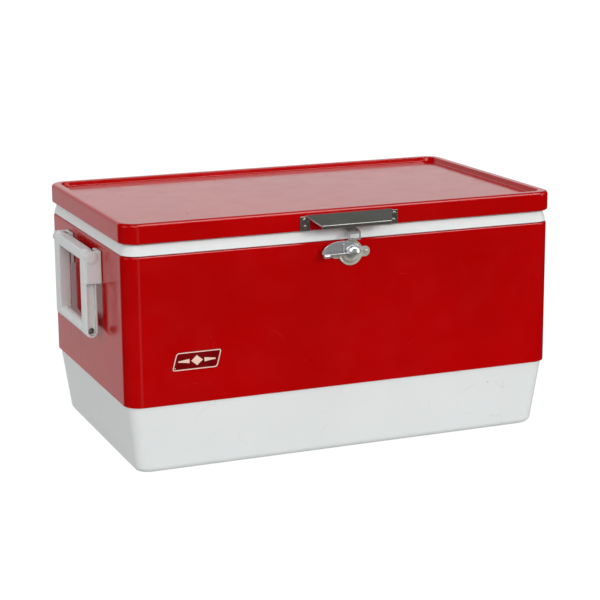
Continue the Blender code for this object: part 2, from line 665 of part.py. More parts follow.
def make_lid_liner():
    """Plastic pan under the lid: a flange inside the steel, and a plug that fills the mouth."""
    centre_inset = PLUG_INSET + PLUG_DRAFT + PLUG_FILLET
    centre_z = PLUG_FOOT + PLUG_FILLET
    flange_edge = STEEL + 2 * GAP
    outside = profile_arc(centre_inset, centre_z, PLUG_FILLET, -90, 0)
    outside += [(PLUG_INSET, LID_FLANGE_UNDER), (flange_edge, LID_FLANGE_UNDER)]
    flange_top = LID_FLANGE_UNDER + LID_FLANGE
    inside = [(flange_edge, flange_top), (PLUG_INSET + LID_WALL, flange_top)]
    inside += profile_arc(centre_inset, centre_z, PLUG_FILLET - LID_WALL, 0, -90)
    return ring_solid("lid_liner", "white_plastic", outside + inside)


def make_lid_insulation():
    """Foam between the lid's liner and its steel."""
    centre_inset = PLUG_INSET + PLUG_DRAFT + PLUG_FILLET
    centre_z = PLUG_FOOT + PLUG_FILLET
    flange_top = LID_FLANGE_UNDER + LID_FLANGE + GAP
    edge = STEEL + 2 * GAP
    profile = profile_arc(centre_inset, centre_z, PLUG_FILLET - LID_WALL - GAP, -90, 0)
    profile += [(PLUG_INSET + LID_WALL + GAP, flange_top), (edge, flange_top)]
    profile += [(edge, HEIGHT - PANEL_DROP - STEEL - 0.4 * MM)]
    return ring_solid("lid_insulation", "foam", profile)


def make_lid_gasket():
    """Soft ring between the lid's flange and the liner's rim."""
    foot, top = LID_BOTTOM, LID_FLANGE_UNDER - GAP
    middle = (foot + top) / 2
    outer, inner, bulge = 9.0 * MM, 15.0 * MM, 1.0 * MM
    profile = [(outer, foot), (inner, foot), (inner + bulge, middle), (inner, top), (outer, top)]
    profile += [(outer - bulge, middle)]
    return ring_solid("lid_gasket", "seal_rubber", profile, closed=True)


def make_lid_handle():
    """Pressed pull: end plates and a top strip on the lid, and a sloping awning with a turned-down lip."""
    back = LID_FRONT - GAP
    face = back - LEAF
    top_z, lip_z, awning_z = PULL_TOP_Z, PULL_LIP_Z, PULL_AWNING_Z
    lip_y = LID_FRONT - PULL_REACH
    crown = top_z + 1.6 * MM
    section = [(back, crown - 0.8 * MM), (back, top_z - 1.0 * MM), (face, top_z - 1.0 * MM)]
    section += [(lip_y + LEAF, awning_z - 1.6 * MM), (lip_y + LEAF, lip_z), (lip_y, lip_z)]
    section += [(lip_y, awning_z), (face, crown)]
    left, right = PULL_X - PULL_TOP_HALF, PULL_X + PULL_TOP_HALF
    handle = prism("lid_handle", "polished_steel", section, "X", left, right)
    trims = []
    for side in (-1, 1):
        top_x, front_x = PULL_X + side * PULL_TOP_HALF, PULL_X + side * PULL_FRONT_HALF
        slant = (top_x - front_x) / (face - lip_y)
        far_x = PULL_X + side * (PULL_HALF + PAST)
        outline = [(top_x, face), (front_x - slant * PAST, lip_y - PAST), (far_x, lip_y - PAST)]
        outline += [(far_x, face)]
        trims.append(prism("trim", None, outline, "Z", lip_z - PAST, crown + PAST))
    combine(handle, trims, "DIFFERENCE")
    strip = box("strip", None, (PULL_X - PULL_HALF, face, PULL_STRIP_Z), (PULL_X + PULL_HALF, back, top_z))
    parts = [strip]
    for side in (-1, 1):
        low_x, high_x = sorted((PULL_X + side * PULL_HALF, PULL_X + side * PULL_PLATE_INNER))
        parts.append(box("end_plate", None, (low_x, face, PULL_FOOT_Z),
                         (high_x, back, PULL_STRIP_Z + 1 * MM)))
    combine(handle, parts, "UNION")
    names, spots = [], []
    for side, side_name in ((-1, "left"), (1, "right")):
        for x_out, z, level in ((59.4 * MM, 299.4 * MM, "upper"), (58.2 * MM, 291.0 * MM, "lower")):
            names.append(f"lid_handle_screw_{side_name}_{level}")
            spots.append((PULL_X + side * x_out, face, z))
    screws = fasten(handle, "polished_steel", names, spots, (0, -1, 0), PULL_SCREW_HEAD)
    return [handle] + screws


def make_lid_hasp():
    """Strap on the lid's front: a leg behind the pull, a tongue forward, and a window frame in front."""
    back = LID_FRONT - GAP
    face = back - LEAF
    front = HASP_FRONT
    section = [(back, HASP_TOP), (back, HASP_ROOT - LEAF), (front + LEAF, HASP_NOSE - LEAF)]
    section += [(front + LEAF, HASP_FOOT), (front, HASP_FOOT), (front, HASP_NOSE)]
    section += [(face, HASP_ROOT), (face, HASP_TOP)]
    hasp = prism("lid_hasp", "chrome", section, "X", HASP_X - HASP_HALF, HASP_X + HASP_HALF)
    window = box("window", None, (HASP_X - WINDOW_HALF, front - PAST, WINDOW_LOW),
                 (HASP_X + WINDOW_HALF, front + LEAF + PAST, WINDOW_HIGH))
    combine(hasp, [window], "DIFFERENCE")
    spots = [(HASP_X, face, level) for level in HASP_RIVET_LEVELS]
    names = ("lid_hasp_rivet_upper", "lid_hasp_rivet_lower")
    rivets = fasten(hasp, "chrome", names, spots, (0, -1, 0), HASP_RIVET_HEAD)
    return [hasp] + rivets


def make_hinge(side, side_name):
    """One strap hinge behind: two leaves with knuckles in turn, a pin, and two screws in each leaf."""
    middle = side * HINGE_X
    axis_y, axis_z = HINGE_AXIS.y, HINGE_AXIS.z
    low, high = middle - HINGE_HALF, middle + HINGE_HALF
    reach = BARREL_RADIUS + 0.5 * MM
    lid_back = LID_REAR + GAP
    belt_back = BELT_REAR + GAP
    lid_leaf = box(f"{side_name}_hinge_lid_leaf", "polished_steel", (low, lid_back, axis_z + reach),
                   (high, lid_back + LEAF, LID_LEAF_TOP))
    jog_foot, jog_top, body_foot = LEAF_JOG_FOOT, LEAF_JOG_TOP, BELT_LEAF_FOOT
    section = [(belt_back, body_foot), (belt_back + LEAF, body_foot), (belt_back + LEAF, jog_foot)]
    section += [(lid_back + LEAF, jog_top), (lid_back + LEAF, axis_z - reach), (lid_back, axis_z - reach)]
    section += [(lid_back, jog_top + 0.8 * MM), (belt_back, jog_foot + 0.8 * MM)]
    body_leaf = prism(f"{side_name}_hinge_body_leaf", "polished_steel", section, "X", low, high)
    pitch = 2 * HINGE_HALF / KNUCKLES
    knuckles = {lid_leaf.name: [], body_leaf.name: []}
    for index in range(KNUCKLES):
        start = low + index * pitch + (KNUCKLE_PLAY if index else 0)
        end = low + (index + 1) * pitch - (KNUCKLE_PLAY if index < KNUCKLES - 1 else 0)
        owner, toward = (body_leaf, -1) if index % 2 == 0 else (lid_leaf, 1)
        root = axis_z + toward * (reach + 0.8 * MM)
        finger_low, finger_high = sorted((axis_z, root))
        barrel = rod("barrel", None, BARREL_RADIUS, (start, axis_y, axis_z), (end, axis_y, axis_z))
        knuckles[owner.name].append(barrel)
        knuckles[owner.name].append(box("finger", None, (start, lid_back, finger_low),
                                        (end, lid_back + LEAF, finger_high)))
    for leaf in (lid_leaf, body_leaf):
        combine(leaf, knuckles[leaf.name], "UNION")
        bore = rod("bore", None, HINGE_BORE_RADIUS, (low - PAST, axis_y, axis_z),
                   (high + PAST, axis_y, axis_z))
        combine(leaf, [bore], "DIFFERENCE")
    rod(f"{side_name}_hinge_pin", "zinc_steel", HINGE_PIN_RADIUS, (low + 0.5 * MM, axis_y, axis_z),
        (high - 0.5 * MM, axis_y, axis_z), 12)
    lid_names = [f"{side_name}_lid_hinge_screw_{number}" for number in (1, 2)]
    offsets = (-HINGE_SCREW_SPREAD, HINGE_SCREW_SPREAD)
    lid_spots = [(middle + offset, lid_back + LEAF, LID_LEAF_SCREW_Z) for offset in offsets]
    screws = fasten(lid_leaf, "zinc_steel", lid_names, lid_spots, (0, 1, 0), HINGE_SCREW_HEAD)
    body_names = [f"{side_name}_body_hinge_screw_{number}" for number in (1, 2)]
    body_spots = [(middle + offset, belt_back + LEAF, BELT_LEAF_SCREW_Z) for offset in offsets]
    fasten(body_leaf, "zinc_steel", body_names, body_spots, (0, 1, 0), HINGE_SCREW_HEAD)
    return [lid_leaf] + screws


def make_chest():
    """Everything that stands still, and what turns on it."""
    make_body_shell()
    base_tub = make_base_tub()
    liner = make_inner_liner()
    foam = make_body_insulation()
    make_drain(base_tub, foam, liner)
    make_badge()
    make_latch_base()
    make_latch_pivot()
    make_latch_lever()
    for end, end_name in ((-1, "left"), (1, "right")):
        make_bracket_set(end, end_name)


def make_lid():
    """The lid and all that opens with it."""
    moving = [make_lid_shell(), make_lid_liner(), make_lid_insulation(), make_lid_gasket()]
    moving += make_lid_handle()
    moving += make_lid_hasp()
    for side, side_name in ((-1, "left"), (1, "right")):
        moving += make_hinge(side, side_name)
    hang_on_axis("lid_axis", HINGE_AXIS, moving)


clear_scene()
make_chest()
make_lid()
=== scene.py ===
# %% [markdown]
# # A steel-belted picnic cooler
# The object is a red and white cooler chest: a painted steel belt and a painted steel lid on a white plastic
# base, with foam and a plastic liner inside. The working model comes first, as a fixed frame. It holds every
# place, size and joint. This lesson dresses it: each piece is modelled again with finer curves, in the place
# that the frame gives, and each finish is built from procedural nodes.

# %% Load the frame
import json
import math

import bmesh
import bpy
from mathutils import Matrix, Vector


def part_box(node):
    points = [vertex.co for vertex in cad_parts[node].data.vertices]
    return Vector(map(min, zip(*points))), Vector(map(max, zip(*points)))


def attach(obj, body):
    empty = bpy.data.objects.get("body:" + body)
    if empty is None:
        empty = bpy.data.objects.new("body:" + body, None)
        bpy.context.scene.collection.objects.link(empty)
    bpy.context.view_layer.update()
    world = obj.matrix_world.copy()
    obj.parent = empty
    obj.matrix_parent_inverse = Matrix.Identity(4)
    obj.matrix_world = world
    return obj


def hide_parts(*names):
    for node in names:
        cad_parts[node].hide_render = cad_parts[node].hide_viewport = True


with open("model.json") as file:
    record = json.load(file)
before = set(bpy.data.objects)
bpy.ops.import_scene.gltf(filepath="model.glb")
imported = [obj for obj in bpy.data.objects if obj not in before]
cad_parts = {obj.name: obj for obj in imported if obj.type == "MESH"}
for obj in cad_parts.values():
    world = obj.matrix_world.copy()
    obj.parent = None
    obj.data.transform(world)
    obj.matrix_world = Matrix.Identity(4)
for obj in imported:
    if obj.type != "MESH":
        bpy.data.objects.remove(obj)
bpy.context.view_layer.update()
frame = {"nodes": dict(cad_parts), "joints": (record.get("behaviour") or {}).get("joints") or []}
joints = {joint["name"]: joint for joint in frame["joints"]}

# %% [markdown]
# ## Measures
# The lid's outline is the widest ring of the chest, so it serves as the datum. Every other wall is set in from
# it by a few millimetres. The values below are read off the frame's pieces, or are the sheet and wall
# thicknesses that such a chest is made with.

# %% Measures read off the frame
MM = 0.001
lid_low, lid_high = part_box("lid_shell")
belt_low, belt_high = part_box("body_shell")
HALF_LENGTH = lid_high.x
HALF_DEPTH = lid_high.y
LID_TOP = lid_high.z
LID_FOOT = lid_low.z
BELT_INSET = HALF_LENGTH - belt_high.x
BELT_FRONT = belt_low.y
BELT_REAR = belt_high.y
BELT_SIDE = belt_high.x
BAND_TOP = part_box("inner_liner")[1].z
STEEL = 1.2 * MM
GAP = 0.3 * MM
outer_size = (2 * HALF_LENGTH, 2 * HALF_DEPTH, LID_TOP)
print("length, depth, height in mm:", [round(value / MM) for value in outer_size])

# %% [markdown]
# ## Camera
# A box seen from close by looks like a wedge. A long lens from further back keeps upright edges upright, and the
# long sides only lean together a little. The camera stands in front and to the left, a little above the lid, and
# looks down on the chest.

# %% A long lens, front left
def aim_camera(place, yaw_deg, pitch_deg, roll_deg, lens_mm):
    """Camera that looks from a place; yaw turns from +Y towards +X, and a negative pitch looks down."""
    optics = bpy.data.cameras.new("camera")
    optics.lens = lens_mm
    optics.sensor_width = 36.0
    camera = bpy.data.objects.new("camera", optics)
    turn = Matrix.Rotation(math.radians(-yaw_deg), 4, "Z")
    tilt = Matrix.Rotation(math.radians(90.0 + pitch_deg), 4, "X")
    lean = Matrix.Rotation(math.radians(roll_deg), 4, "Z")
    camera.matrix_world = Matrix.Translation(place) @ turn @ tilt @ lean
    bpy.context.scene.collection.objects.link(camera)
    bpy.context.scene.camera = camera
    return camera


camera = aim_camera(place=(-0.8552, -2.1266, 0.6941), yaw_deg=22.023, pitch_deg=-13.158, roll_deg=-0.428,
                    lens_mm=107.07)
bpy.context.scene.view_settings.view_transform = "Standard"
print("camera distance in metres:", round(camera.location.length, 2))

# %% [markdown]
# ## Shader helpers
# A finish is a small graph of nodes. A few helpers keep the graphs short to write. The first adds a node and
# connects or fills its inputs, and another starts a material and hands over its Principled shader.

# %% Node helpers
def add_node(tree, kind, inputs=None, **settings):
    """Add a node. An input takes a socket, which is linked, or a plain value."""
    node = tree.nodes.new(kind)
    for name, value in settings.items():
        setattr(node, name, value)
    for name, value in (inputs or {}).items():
        if isinstance(value, bpy.types.NodeSocket):
            tree.links.new(value, node.inputs[name])
        else:
            node.inputs[name].default_value = value
    return node


def math_node(tree, operation, first, second=0.0, clamp=False):
    """Output of one Math node."""
    node = add_node(tree, "ShaderNodeMath", {0: first, 1: second}, operation=operation, use_clamp=clamp)
    return node.outputs[0]


def dot_product(tree, first, second):
    """How far two unit directions agree: 1 when they are the same."""
    node = add_node(tree, "ShaderNodeVectorMath", {0: first, 1: second}, operation="DOT_PRODUCT")
    return node.outputs["Value"]


def noise(tree, place, scale, detail=2.0):
    """Grey value of a noise over a place."""
    values = {"Vector": place, "Scale": scale, "Detail": detail}
    return add_node(tree, "ShaderNodeTexNoise", values).outputs["Fac"]


def warped(tree, place, scale, amount):
    """A place pushed about by a coloured noise."""
    push = add_node(tree, "ShaderNodeTexNoise", {"Vector": place, "Scale": scale}).outputs["Color"]
    shift = add_node(tree, "ShaderNodeVectorMath", {0: push, "Scale": amount}, operation="SCALE").outputs[0]
    return add_node(tree, "ShaderNodeVectorMath", {0: place, 1: shift}, operation="ADD").outputs[0]


def remap(tree, value, low, high, to_low=0.0, to_high=1.0):
    """Ease a value from one range to another, clamped at both ends."""
    limits = {"Value": value, "From Min": low, "From Max": high, "To Min": to_low, "To Max": to_high}
    return add_node(tree, "ShaderNodeMapRange", limits, interpolation_type="SMOOTHSTEP").outputs[0]


def mix_colours(tree, factor, first, second):
    """Blend two colours; each is a socket or (r, g, b)."""
    pick = [c if isinstance(c, bpy.types.NodeSocket) else (*c, 1.0) for c in (first, second)]
    return add_node(tree, "ShaderNodeMix", {0: factor, 6: pick[0], 7: pick[1]}, data_type="RGBA").outputs[2]


def start_material(name, **values):
    """New material: its node tree, its Principled shader with plain values set, and its Object coordinates."""
    material = bpy.data.materials.new(name)
    material.use_nodes = True
    tree = material.node_tree
    shader = tree.nodes["Principled BSDF"]
    for socket, value in values.items():
        shader.inputs[socket.replace("_", " ")].default_value = value
    place = add_node(tree, "ShaderNodeTexCoord").outputs["Object"]
    return material, tree, shader, place


def add_bump(tree, shader, height, strength, distance):
    """Feed a height into the shader through a Bump node."""
    bump = add_node(tree, "ShaderNodeBump", {"Height": height, "Strength": strength, "Distance": distance})
    tree.links.new(bump.outputs["Normal"], shader.inputs["Normal"])


# %% [markdown]
# ## Stage and light
# A white sweep runs under the chest and up all round it. Glossy paint shows what stands round it, so a studio
# hides the front of the room in the dark and keeps white card behind and beside the object. Here the sweep is
# hidden from reflections, and the world gives them instead: a few soft lights at chosen directions on a dark
# ground. The broad light that the eye reads as brightness comes from the sweep, four soft suns and the world.

# %% The sweep
SWEEP_RADIUS = 4.2
SWEEP_BEND = 1.2
SWEEP_HEIGHT = 4.0
SWEEP_DROP = 0.1 * MM


def make_sweep():
    """Floor, bend and wall as one profile spun round the chest, its face inwards."""
    bm = bmesh.new()
    points = [(0.0, 0.0), (SWEEP_RADIUS - SWEEP_BEND, 0.0)]
    for step in range(1, 9):
        angle = math.radians(90.0 * step / 8)
        out = SWEEP_RADIUS - SWEEP_BEND + SWEEP_BEND * math.sin(angle)
        points.append((out, SWEEP_BEND * (1 - math.cos(angle))))
    points.append((SWEEP_RADIUS, SWEEP_HEIGHT))
    verts = [bm.verts.new((radius, 0.0, height - SWEEP_DROP)) for radius, height in points]
    edges = [bm.edges.new(pair) for pair in zip(verts, verts[1:])]
    bmesh.ops.spin(bm, geom=verts + edges, cent=(0, 0, 0), axis=(0, 0, 1), dvec=(0, 0, 0),
                   angle=math.radians(360.0), steps=72, use_merge=True, use_duplicate=False)
    bmesh.ops.remove_doubles(bm, verts=bm.verts, dist=0.01 * MM)
    bmesh.ops.recalc_face_normals(bm, faces=bm.faces)
    mesh = bpy.data.meshes.new("sweep")
    bm.to_mesh(mesh)
    bm.free()
    mesh.shade_smooth()
    sweep = bpy.data.objects.new("sweep", mesh)
    bpy.context.scene.collection.objects.link(sweep)
    sweep.visible_glossy = False
    sweep.visible_shadow = False
    return sweep


def paint_sweep(sweep, seen_glow, seen_tone, bounce_glow, bounce_tone):
    """Matt white card. It glows a little, more to the eye than to the objects on it."""
    material, tree, shader, _ = start_material("white_card")
    tree.nodes.remove(shader)
    parts = []
    for glow, tone in ((bounce_glow, bounce_tone), (seen_glow, seen_tone)):
        card = add_node(tree, "ShaderNodeBsdfDiffuse", {"Color": (tone, tone, tone, 1.0)}).outputs[0]
        light = add_node(tree, "ShaderNodeEmission", {"Strength": glow}).outputs[0]
        parts.append(add_node(tree, "ShaderNodeAddShader", {0: card, 1: light}).outputs[0])
    eye = add_node(tree, "ShaderNodeLightPath").outputs["Is Camera Ray"]
    both = add_node(tree, "ShaderNodeMixShader", {0: eye, 1: parts[0], 2: parts[1]}).outputs[0]
    tree.links.new(both, tree.nodes["Material Output"].inputs["Surface"])
    sweep.data.materials.append(material)


sweep = make_sweep()
paint_sweep(sweep, seen_glow=0.93, seen_tone=0.16, bounce_glow=0.22, bounce_tone=0.30)
print("sweep radius in metres:", SWEEP_RADIUS)

# %% Four soft suns
def add_sun(name, towards, strength, spread_deg):
    """Sunlight along a direction. It lights matt colour only, and no reflection shows it."""
    lamp = bpy.data.lights.new(name, "SUN")
    lamp.energy = strength
    lamp.angle = math.radians(spread_deg)
    sun = bpy.data.objects.new(name, lamp)
    sun.rotation_euler = Vector(towards).to_track_quat("-Z", "Y").to_euler()
    bpy.context.scene.collection.objects.link(sun)
    sun.visible_glossy = False
    return sun


add_sun("key_light", (-0.45, 1.0, -0.45), 0.88, 12.0)
add_sun("front_light", (0.12, 1.0, -0.35), 0.85, 24.0)
add_sun("side_light", (1.0, 0.35, -0.45), 0.64, 30.0)
add_sun("back_light", (-0.3, -1.0, -0.15), 0.6, 30.0)

# %% What the gloss reflects
def soft_card(tree, direction, towards, inner_deg, outer_deg, strength):
    """A round white card in one direction: full inside the inner angle and gone at the outer one."""
    unit = Vector(towards).normalized()
    facing = dot_product(tree, direction, unit)
    outer, inner = math.cos(math.radians(outer_deg)), math.cos(math.radians(inner_deg))
    return remap(tree, facing, outer, inner, 0.0, strength)


def light_world(ambient, dark, cards):
    """World that gives an even light to matt surfaces, and soft cards on a dark ground to glossy ones."""
    world = bpy.data.worlds.new("studio")
    bpy.context.scene.world = world
    world.use_nodes = True
    tree = world.node_tree
    direction = add_node(tree, "ShaderNodeTexCoord").outputs["Generated"]
    total = dark
    for towards, inner, outer, strength in cards:
        total = math_node(tree, "ADD", soft_card(tree, direction, towards, inner, outer, strength), total)
    gloss = add_node(tree, "ShaderNodeLightPath").outputs["Is Glossy Ray"]
    spread = add_node(tree, "ShaderNodeMix", {0: gloss, 2: ambient, 3: total}, data_type="FLOAT").outputs[0]
    tree.links.new(spread, tree.nodes["Background"].inputs["Strength"])
    tree.nodes["Background"].inputs["Color"].default_value = (1.0, 1.0, 1.0, 1.0)


light_world(ambient=0.54, dark=0.008, cards=[
    ((0.0, 1.0, 0.0), 31.0, 43.0, 0.55),
    ((0.45, 0.85, 0.30), 22.0, 40.0, 0.27),
    ((0.0, -0.97, -0.25), 2.0, 13.0, 0.30),
    ((0.37, -0.46, 0.81), 11.0, 23.0, 5.0),
    ((-0.35, -0.55, 0.75), 8.0, 16.0, 3.0),
    ((0.85, -0.35, 0.40), 10.0, 24.0, 1.2),
    ((-0.95, -0.10, 0.30), 8.0, 22.0, 1.2),
    ((0.0, 0.5, -0.87), 15.0, 45.0, 0.35),
    ((0.80, -0.55, 0.10), 6.0, 14.0, 2.0),
    ((-0.15, -0.85, 0.50), 8.0, 18.0, 2.5),
])

# %% [markdown]
# ## Effects that several finishes share
# Paint, plastic and metal all vary over a surface in the same few ways: broad clouds of tone, small chips, fine
# scratches and rubbed edges. A fifth effect is painted shade, which darkens crevices. Each effect is a node
# group that gives out one mask, so that every material can use it with its own scale and amount.

# %% Group helper
def new_group(name, sliders, coordinate=True):
    """Shader group with one Mask output, a Vector input and float inputs with their usual values."""
    tree = bpy.data.node_groups.new(name, "ShaderNodeTree")
    if coordinate:
        tree.interface.new_socket("Vector", in_out="INPUT", socket_type="NodeSocketVector")
    for slider, value in sliders.items():
        socket = tree.interface.new_socket(slider, in_out="INPUT", socket_type="NodeSocketFloat")
        socket.default_value = value
    tree.interface.new_socket("Mask", in_out="OUTPUT", socket_type="NodeSocketFloat")
    inputs = tree.nodes.new("NodeGroupInput").outputs
    return tree, inputs, tree.nodes.new("NodeGroupOutput").inputs["Mask"]


def use_group(tree, group, **inputs):
    """Mask of a group, placed in a material with its own values."""
    node = tree.nodes.new("ShaderNodeGroup")
    node.node_tree = group
    for name, value in inputs.items():
        if isinstance(value, bpy.types.NodeSocket):
            tree.links.new(value, node.inputs[name])
        else:
            node.inputs[name].default_value = value
    return node.outputs["Mask"]


# %% Clouds: broad soft variation
def cloud_group():
    tree, inputs, mask = new_group("clouds", {"Scale": 8.0, "Contrast": 0.25})
    cloud = noise(tree, inputs["Vector"], inputs["Scale"], 4.0)
    low = math_node(tree, "SUBTRACT", 0.5, inputs["Contrast"])
    high = math_node(tree, "ADD", 0.5, inputs["Contrast"])
    tree.links.new(remap(tree, cloud, low, high), mask)
    return tree


# %% Chips: a few small ragged spots
def chip_group():
    tree, inputs, mask = new_group("chips", {"Scale": 60.0, "Size": 0.18, "Rarity": 0.97})
    place = warped(tree, inputs["Vector"], scale=900.0, amount=0.0016)
    cells = add_node(tree, "ShaderNodeTexVoronoi", {"Vector": place, "Scale": inputs["Scale"]})
    near = math_node(tree, "LESS_THAN", cells.outputs["Distance"], inputs["Size"])
    chance = add_node(tree, "ShaderNodeSeparateColor", {0: cells.outputs["Color"]}).outputs[0]
    chosen = math_node(tree, "GREATER_THAN", chance, inputs["Rarity"])
    tree.links.new(math_node(tree, "MULTIPLY", near, chosen), mask)
    return tree


# %% Scratches: thin curved lines where a noise allows them
def scratch_group():
    tree, inputs, mask = new_group("scratches", {"Scale": 14.0, "Width": 0.004, "Cover": 0.55})
    place = warped(tree, inputs["Vector"], scale=9.0, amount=0.08)
    lines = add_node(tree, "ShaderNodeTexVoronoi", {"Vector": place, "Scale": inputs["Scale"]},
                     feature="DISTANCE_TO_EDGE")
    thin = math_node(tree, "LESS_THAN", lines.outputs["Distance"], inputs["Width"])
    gate = noise(tree, inputs["Vector"], 26.0)
    allowed = remap(tree, gate, inputs["Cover"], 0.8)
    tree.links.new(math_node(tree, "MULTIPLY", thin, allowed), mask)
    return tree


# %% Rubbed edges: where a rounded normal leaves the true one
def edge_group():
    tree, inputs, mask = new_group("rubbed edges", {"Radius": 0.001, "Breakup": 60.0, "Reach": 0.35})
    soft = add_node(tree, "ShaderNodeBevel", {"Radius": inputs["Radius"]}, samples=4).outputs[0]
    true = add_node(tree, "ShaderNodeNewGeometry").outputs["Normal"]
    facing = dot_product(tree, soft, true)
    bent = remap(tree, facing, 0.995, 0.80)
    patchy = remap(tree, noise(tree, inputs["Vector"], inputs["Breakup"]), inputs["Reach"], 0.75)
    tree.links.new(math_node(tree, "MULTIPLY", bent, patchy), mask)
    return tree


# %% Painted shade: crevices darkened where little light gets in
def crevice_shade_group():
    tree, inputs, mask = new_group("crevices", {"Reach": 0.006, "Start": 0.8}, coordinate=False)
    reach = {"Distance": inputs["Reach"]}
    # Painted shade: the mask grows where ambient occlusion finds little open sky round the point.
    open_sky = add_node(tree, "ShaderNodeAmbientOcclusion", reach, samples=5).outputs["AO"]
    tree.links.new(remap(tree, open_sky, inputs["Start"], 0.15), mask)
    return tree


# %% The five groups
CLOUDS = cloud_group()
CHIPS = chip_group()
SCRATCHES = scratch_group()
EDGES = edge_group()
CREVICE_SHADE = crevice_shade_group()
print("groups:", sorted(group.name for group in bpy.data.node_groups))

# %% [markdown]
# ## Red baked enamel
# The belt and the lid are sheet steel, sprayed and baked. Such paint is hard and glossy, with a faint orange
# peel, so reflections ripple a little. Age shows as chips down to the dark primer, hairline scratches, and a
# paler red where hands and boots rub the edges.

# %% Red enamel
def red_enamel():
    material, tree, shader, place = start_material("red_enamel", Roughness=0.1, IOR=1.5)
    tone = use_group(tree, CLOUDS, Vector=place, Scale=6.0, Contrast=0.3)
    paint = mix_colours(tree, tone, (0.42, 0.0, 0.0), (0.50, 0.0, 0.001))
    rubbed = use_group(tree, EDGES, Vector=place, Radius=0.0012, Breakup=45.0, Reach=0.42)
    paint = mix_colours(tree, math_node(tree, "MULTIPLY", rubbed, 0.35), paint, (0.62, 0.06, 0.045))
    chipped = use_group(tree, CHIPS, Vector=place, Scale=48.0, Size=0.07, Rarity=0.972)
    paint = mix_colours(tree, chipped, paint, (0.55, 0.18, 0.15))
    # Painted shade: crevices and gaps darken the red towards near black.
    shaded = use_group(tree, CREVICE_SHADE, Reach=0.005, Start=0.7)
    paint = mix_colours(tree, math_node(tree, "MULTIPLY", shaded, 0.7), paint, (0.09, 0.0, 0.0))
    tree.links.new(paint, shader.inputs["Base Color"])
    haze = use_group(tree, CLOUDS, Vector=place, Scale=38.0, Contrast=0.3)
    scored = use_group(tree, SCRATCHES, Vector=place, Scale=11.0, Width=0.0035, Cover=0.52)
    rough = math_node(tree, "MULTIPLY_ADD", haze, 0.09)
    rough.node.inputs[2].default_value = 0.09
    rough = math_node(tree, "ADD", rough, math_node(tree, "MULTIPLY", scored, 0.25))
    rough = math_node(tree, "ADD", rough, math_node(tree, "MULTIPLY", chipped, 0.4))
    tree.links.new(rough, shader.inputs["Roughness"])
    peel = noise(tree, place, 420.0)
    ripple = noise(tree, place, 34.0)
    height = math_node(tree, "ADD", math_node(tree, "MULTIPLY", peel, 0.06), ripple)
    height = math_node(tree, "SUBTRACT", height, math_node(tree, "MULTIPLY", chipped, 0.5))
    add_bump(tree, shader, height, 0.35, 0.25 * MM)
    return material


RED_ENAMEL = red_enamel()
print("red enamel:", len(RED_ENAMEL.node_tree.nodes), "nodes")

# %% [markdown]
# ## White moulded plastic
# Base, band and liner are blow-moulded or vacuum-formed polyethylene. It is never quite white: it has faint
# cool and warm clouds, a fine grain from the mould, grey scuffs, and it yellows along edges.

# %% White plastics
def moulded_plastic(name, tone_low, tone_high, aged, roughness, scuff=0.35):
    material, tree, shader, place = start_material(name, IOR=1.5)
    tone = use_group(tree, CLOUDS, Vector=place, Scale=9.0, Contrast=0.35)
    colour = mix_colours(tree, tone, tone_low, tone_high)
    edge = use_group(tree, EDGES, Vector=place, Radius=0.0015, Breakup=30.0, Reach=0.3)
    colour = mix_colours(tree, math_node(tree, "MULTIPLY", edge, 0.6), colour, aged)
    scored = use_group(tree, SCRATCHES, Vector=place, Scale=22.0, Width=0.006, Cover=0.5)
    colour = mix_colours(tree, math_node(tree, "MULTIPLY", scored, scuff), colour, (0.35, 0.34, 0.32))
    spots = use_group(tree, CHIPS, Vector=place, Scale=70.0, Size=0.1, Rarity=0.96)
    colour = mix_colours(tree, math_node(tree, "MULTIPLY", spots, 0.3), colour, (0.32, 0.29, 0.24))
    # Painted shade: crevices and holes darken the white towards a brownish dark.
    shaded = use_group(tree, CREVICE_SHADE, Reach=0.009, Start=0.62)
    colour = mix_colours(tree, math_node(tree, "MULTIPLY", shaded, 0.8), colour, (0.22, 0.18, 0.11))
    tree.links.new(colour, shader.inputs["Base Color"])
    rough = remap(tree, tone, 0.0, 1.0, roughness - 0.06, roughness + 0.08)
    tree.links.new(rough, shader.inputs["Roughness"])
    grain = noise(tree, place, 900.0, 3.0)
    sink = noise(tree, place, 40.0)
    height = math_node(tree, "ADD", math_node(tree, "MULTIPLY", grain, 0.12), sink)
    height = math_node(tree, "SUBTRACT", height, math_node(tree, "MULTIPLY", scored, 0.2))
    add_bump(tree, shader, height, 0.3, 0.35 * MM)
    return material


WHITE_PLASTIC = moulded_plastic("white_plastic", tone_low=(0.80, 0.83, 0.825), tone_high=(0.85, 0.88, 0.875),
                                aged=(0.74, 0.71, 0.60), roughness=0.36)
HANDLE_PLASTIC = moulded_plastic("handle_plastic", tone_low=(0.74, 0.775, 0.77), tone_high=(0.81, 0.845, 0.84),
                                 aged=(0.70, 0.67, 0.56), roughness=0.34)
print("plastics:", WHITE_PLASTIC.name, "and", HANDLE_PLASTIC.name)

# %% [markdown]
# ## Bright metals
# The latch is chromed die-casting and pressing, with pits and a warm tarnish where the plating is thin. The lid
# pull is pressed stainless steel, with a fine grain along its length. Screws and hinge pins are zinc plated.

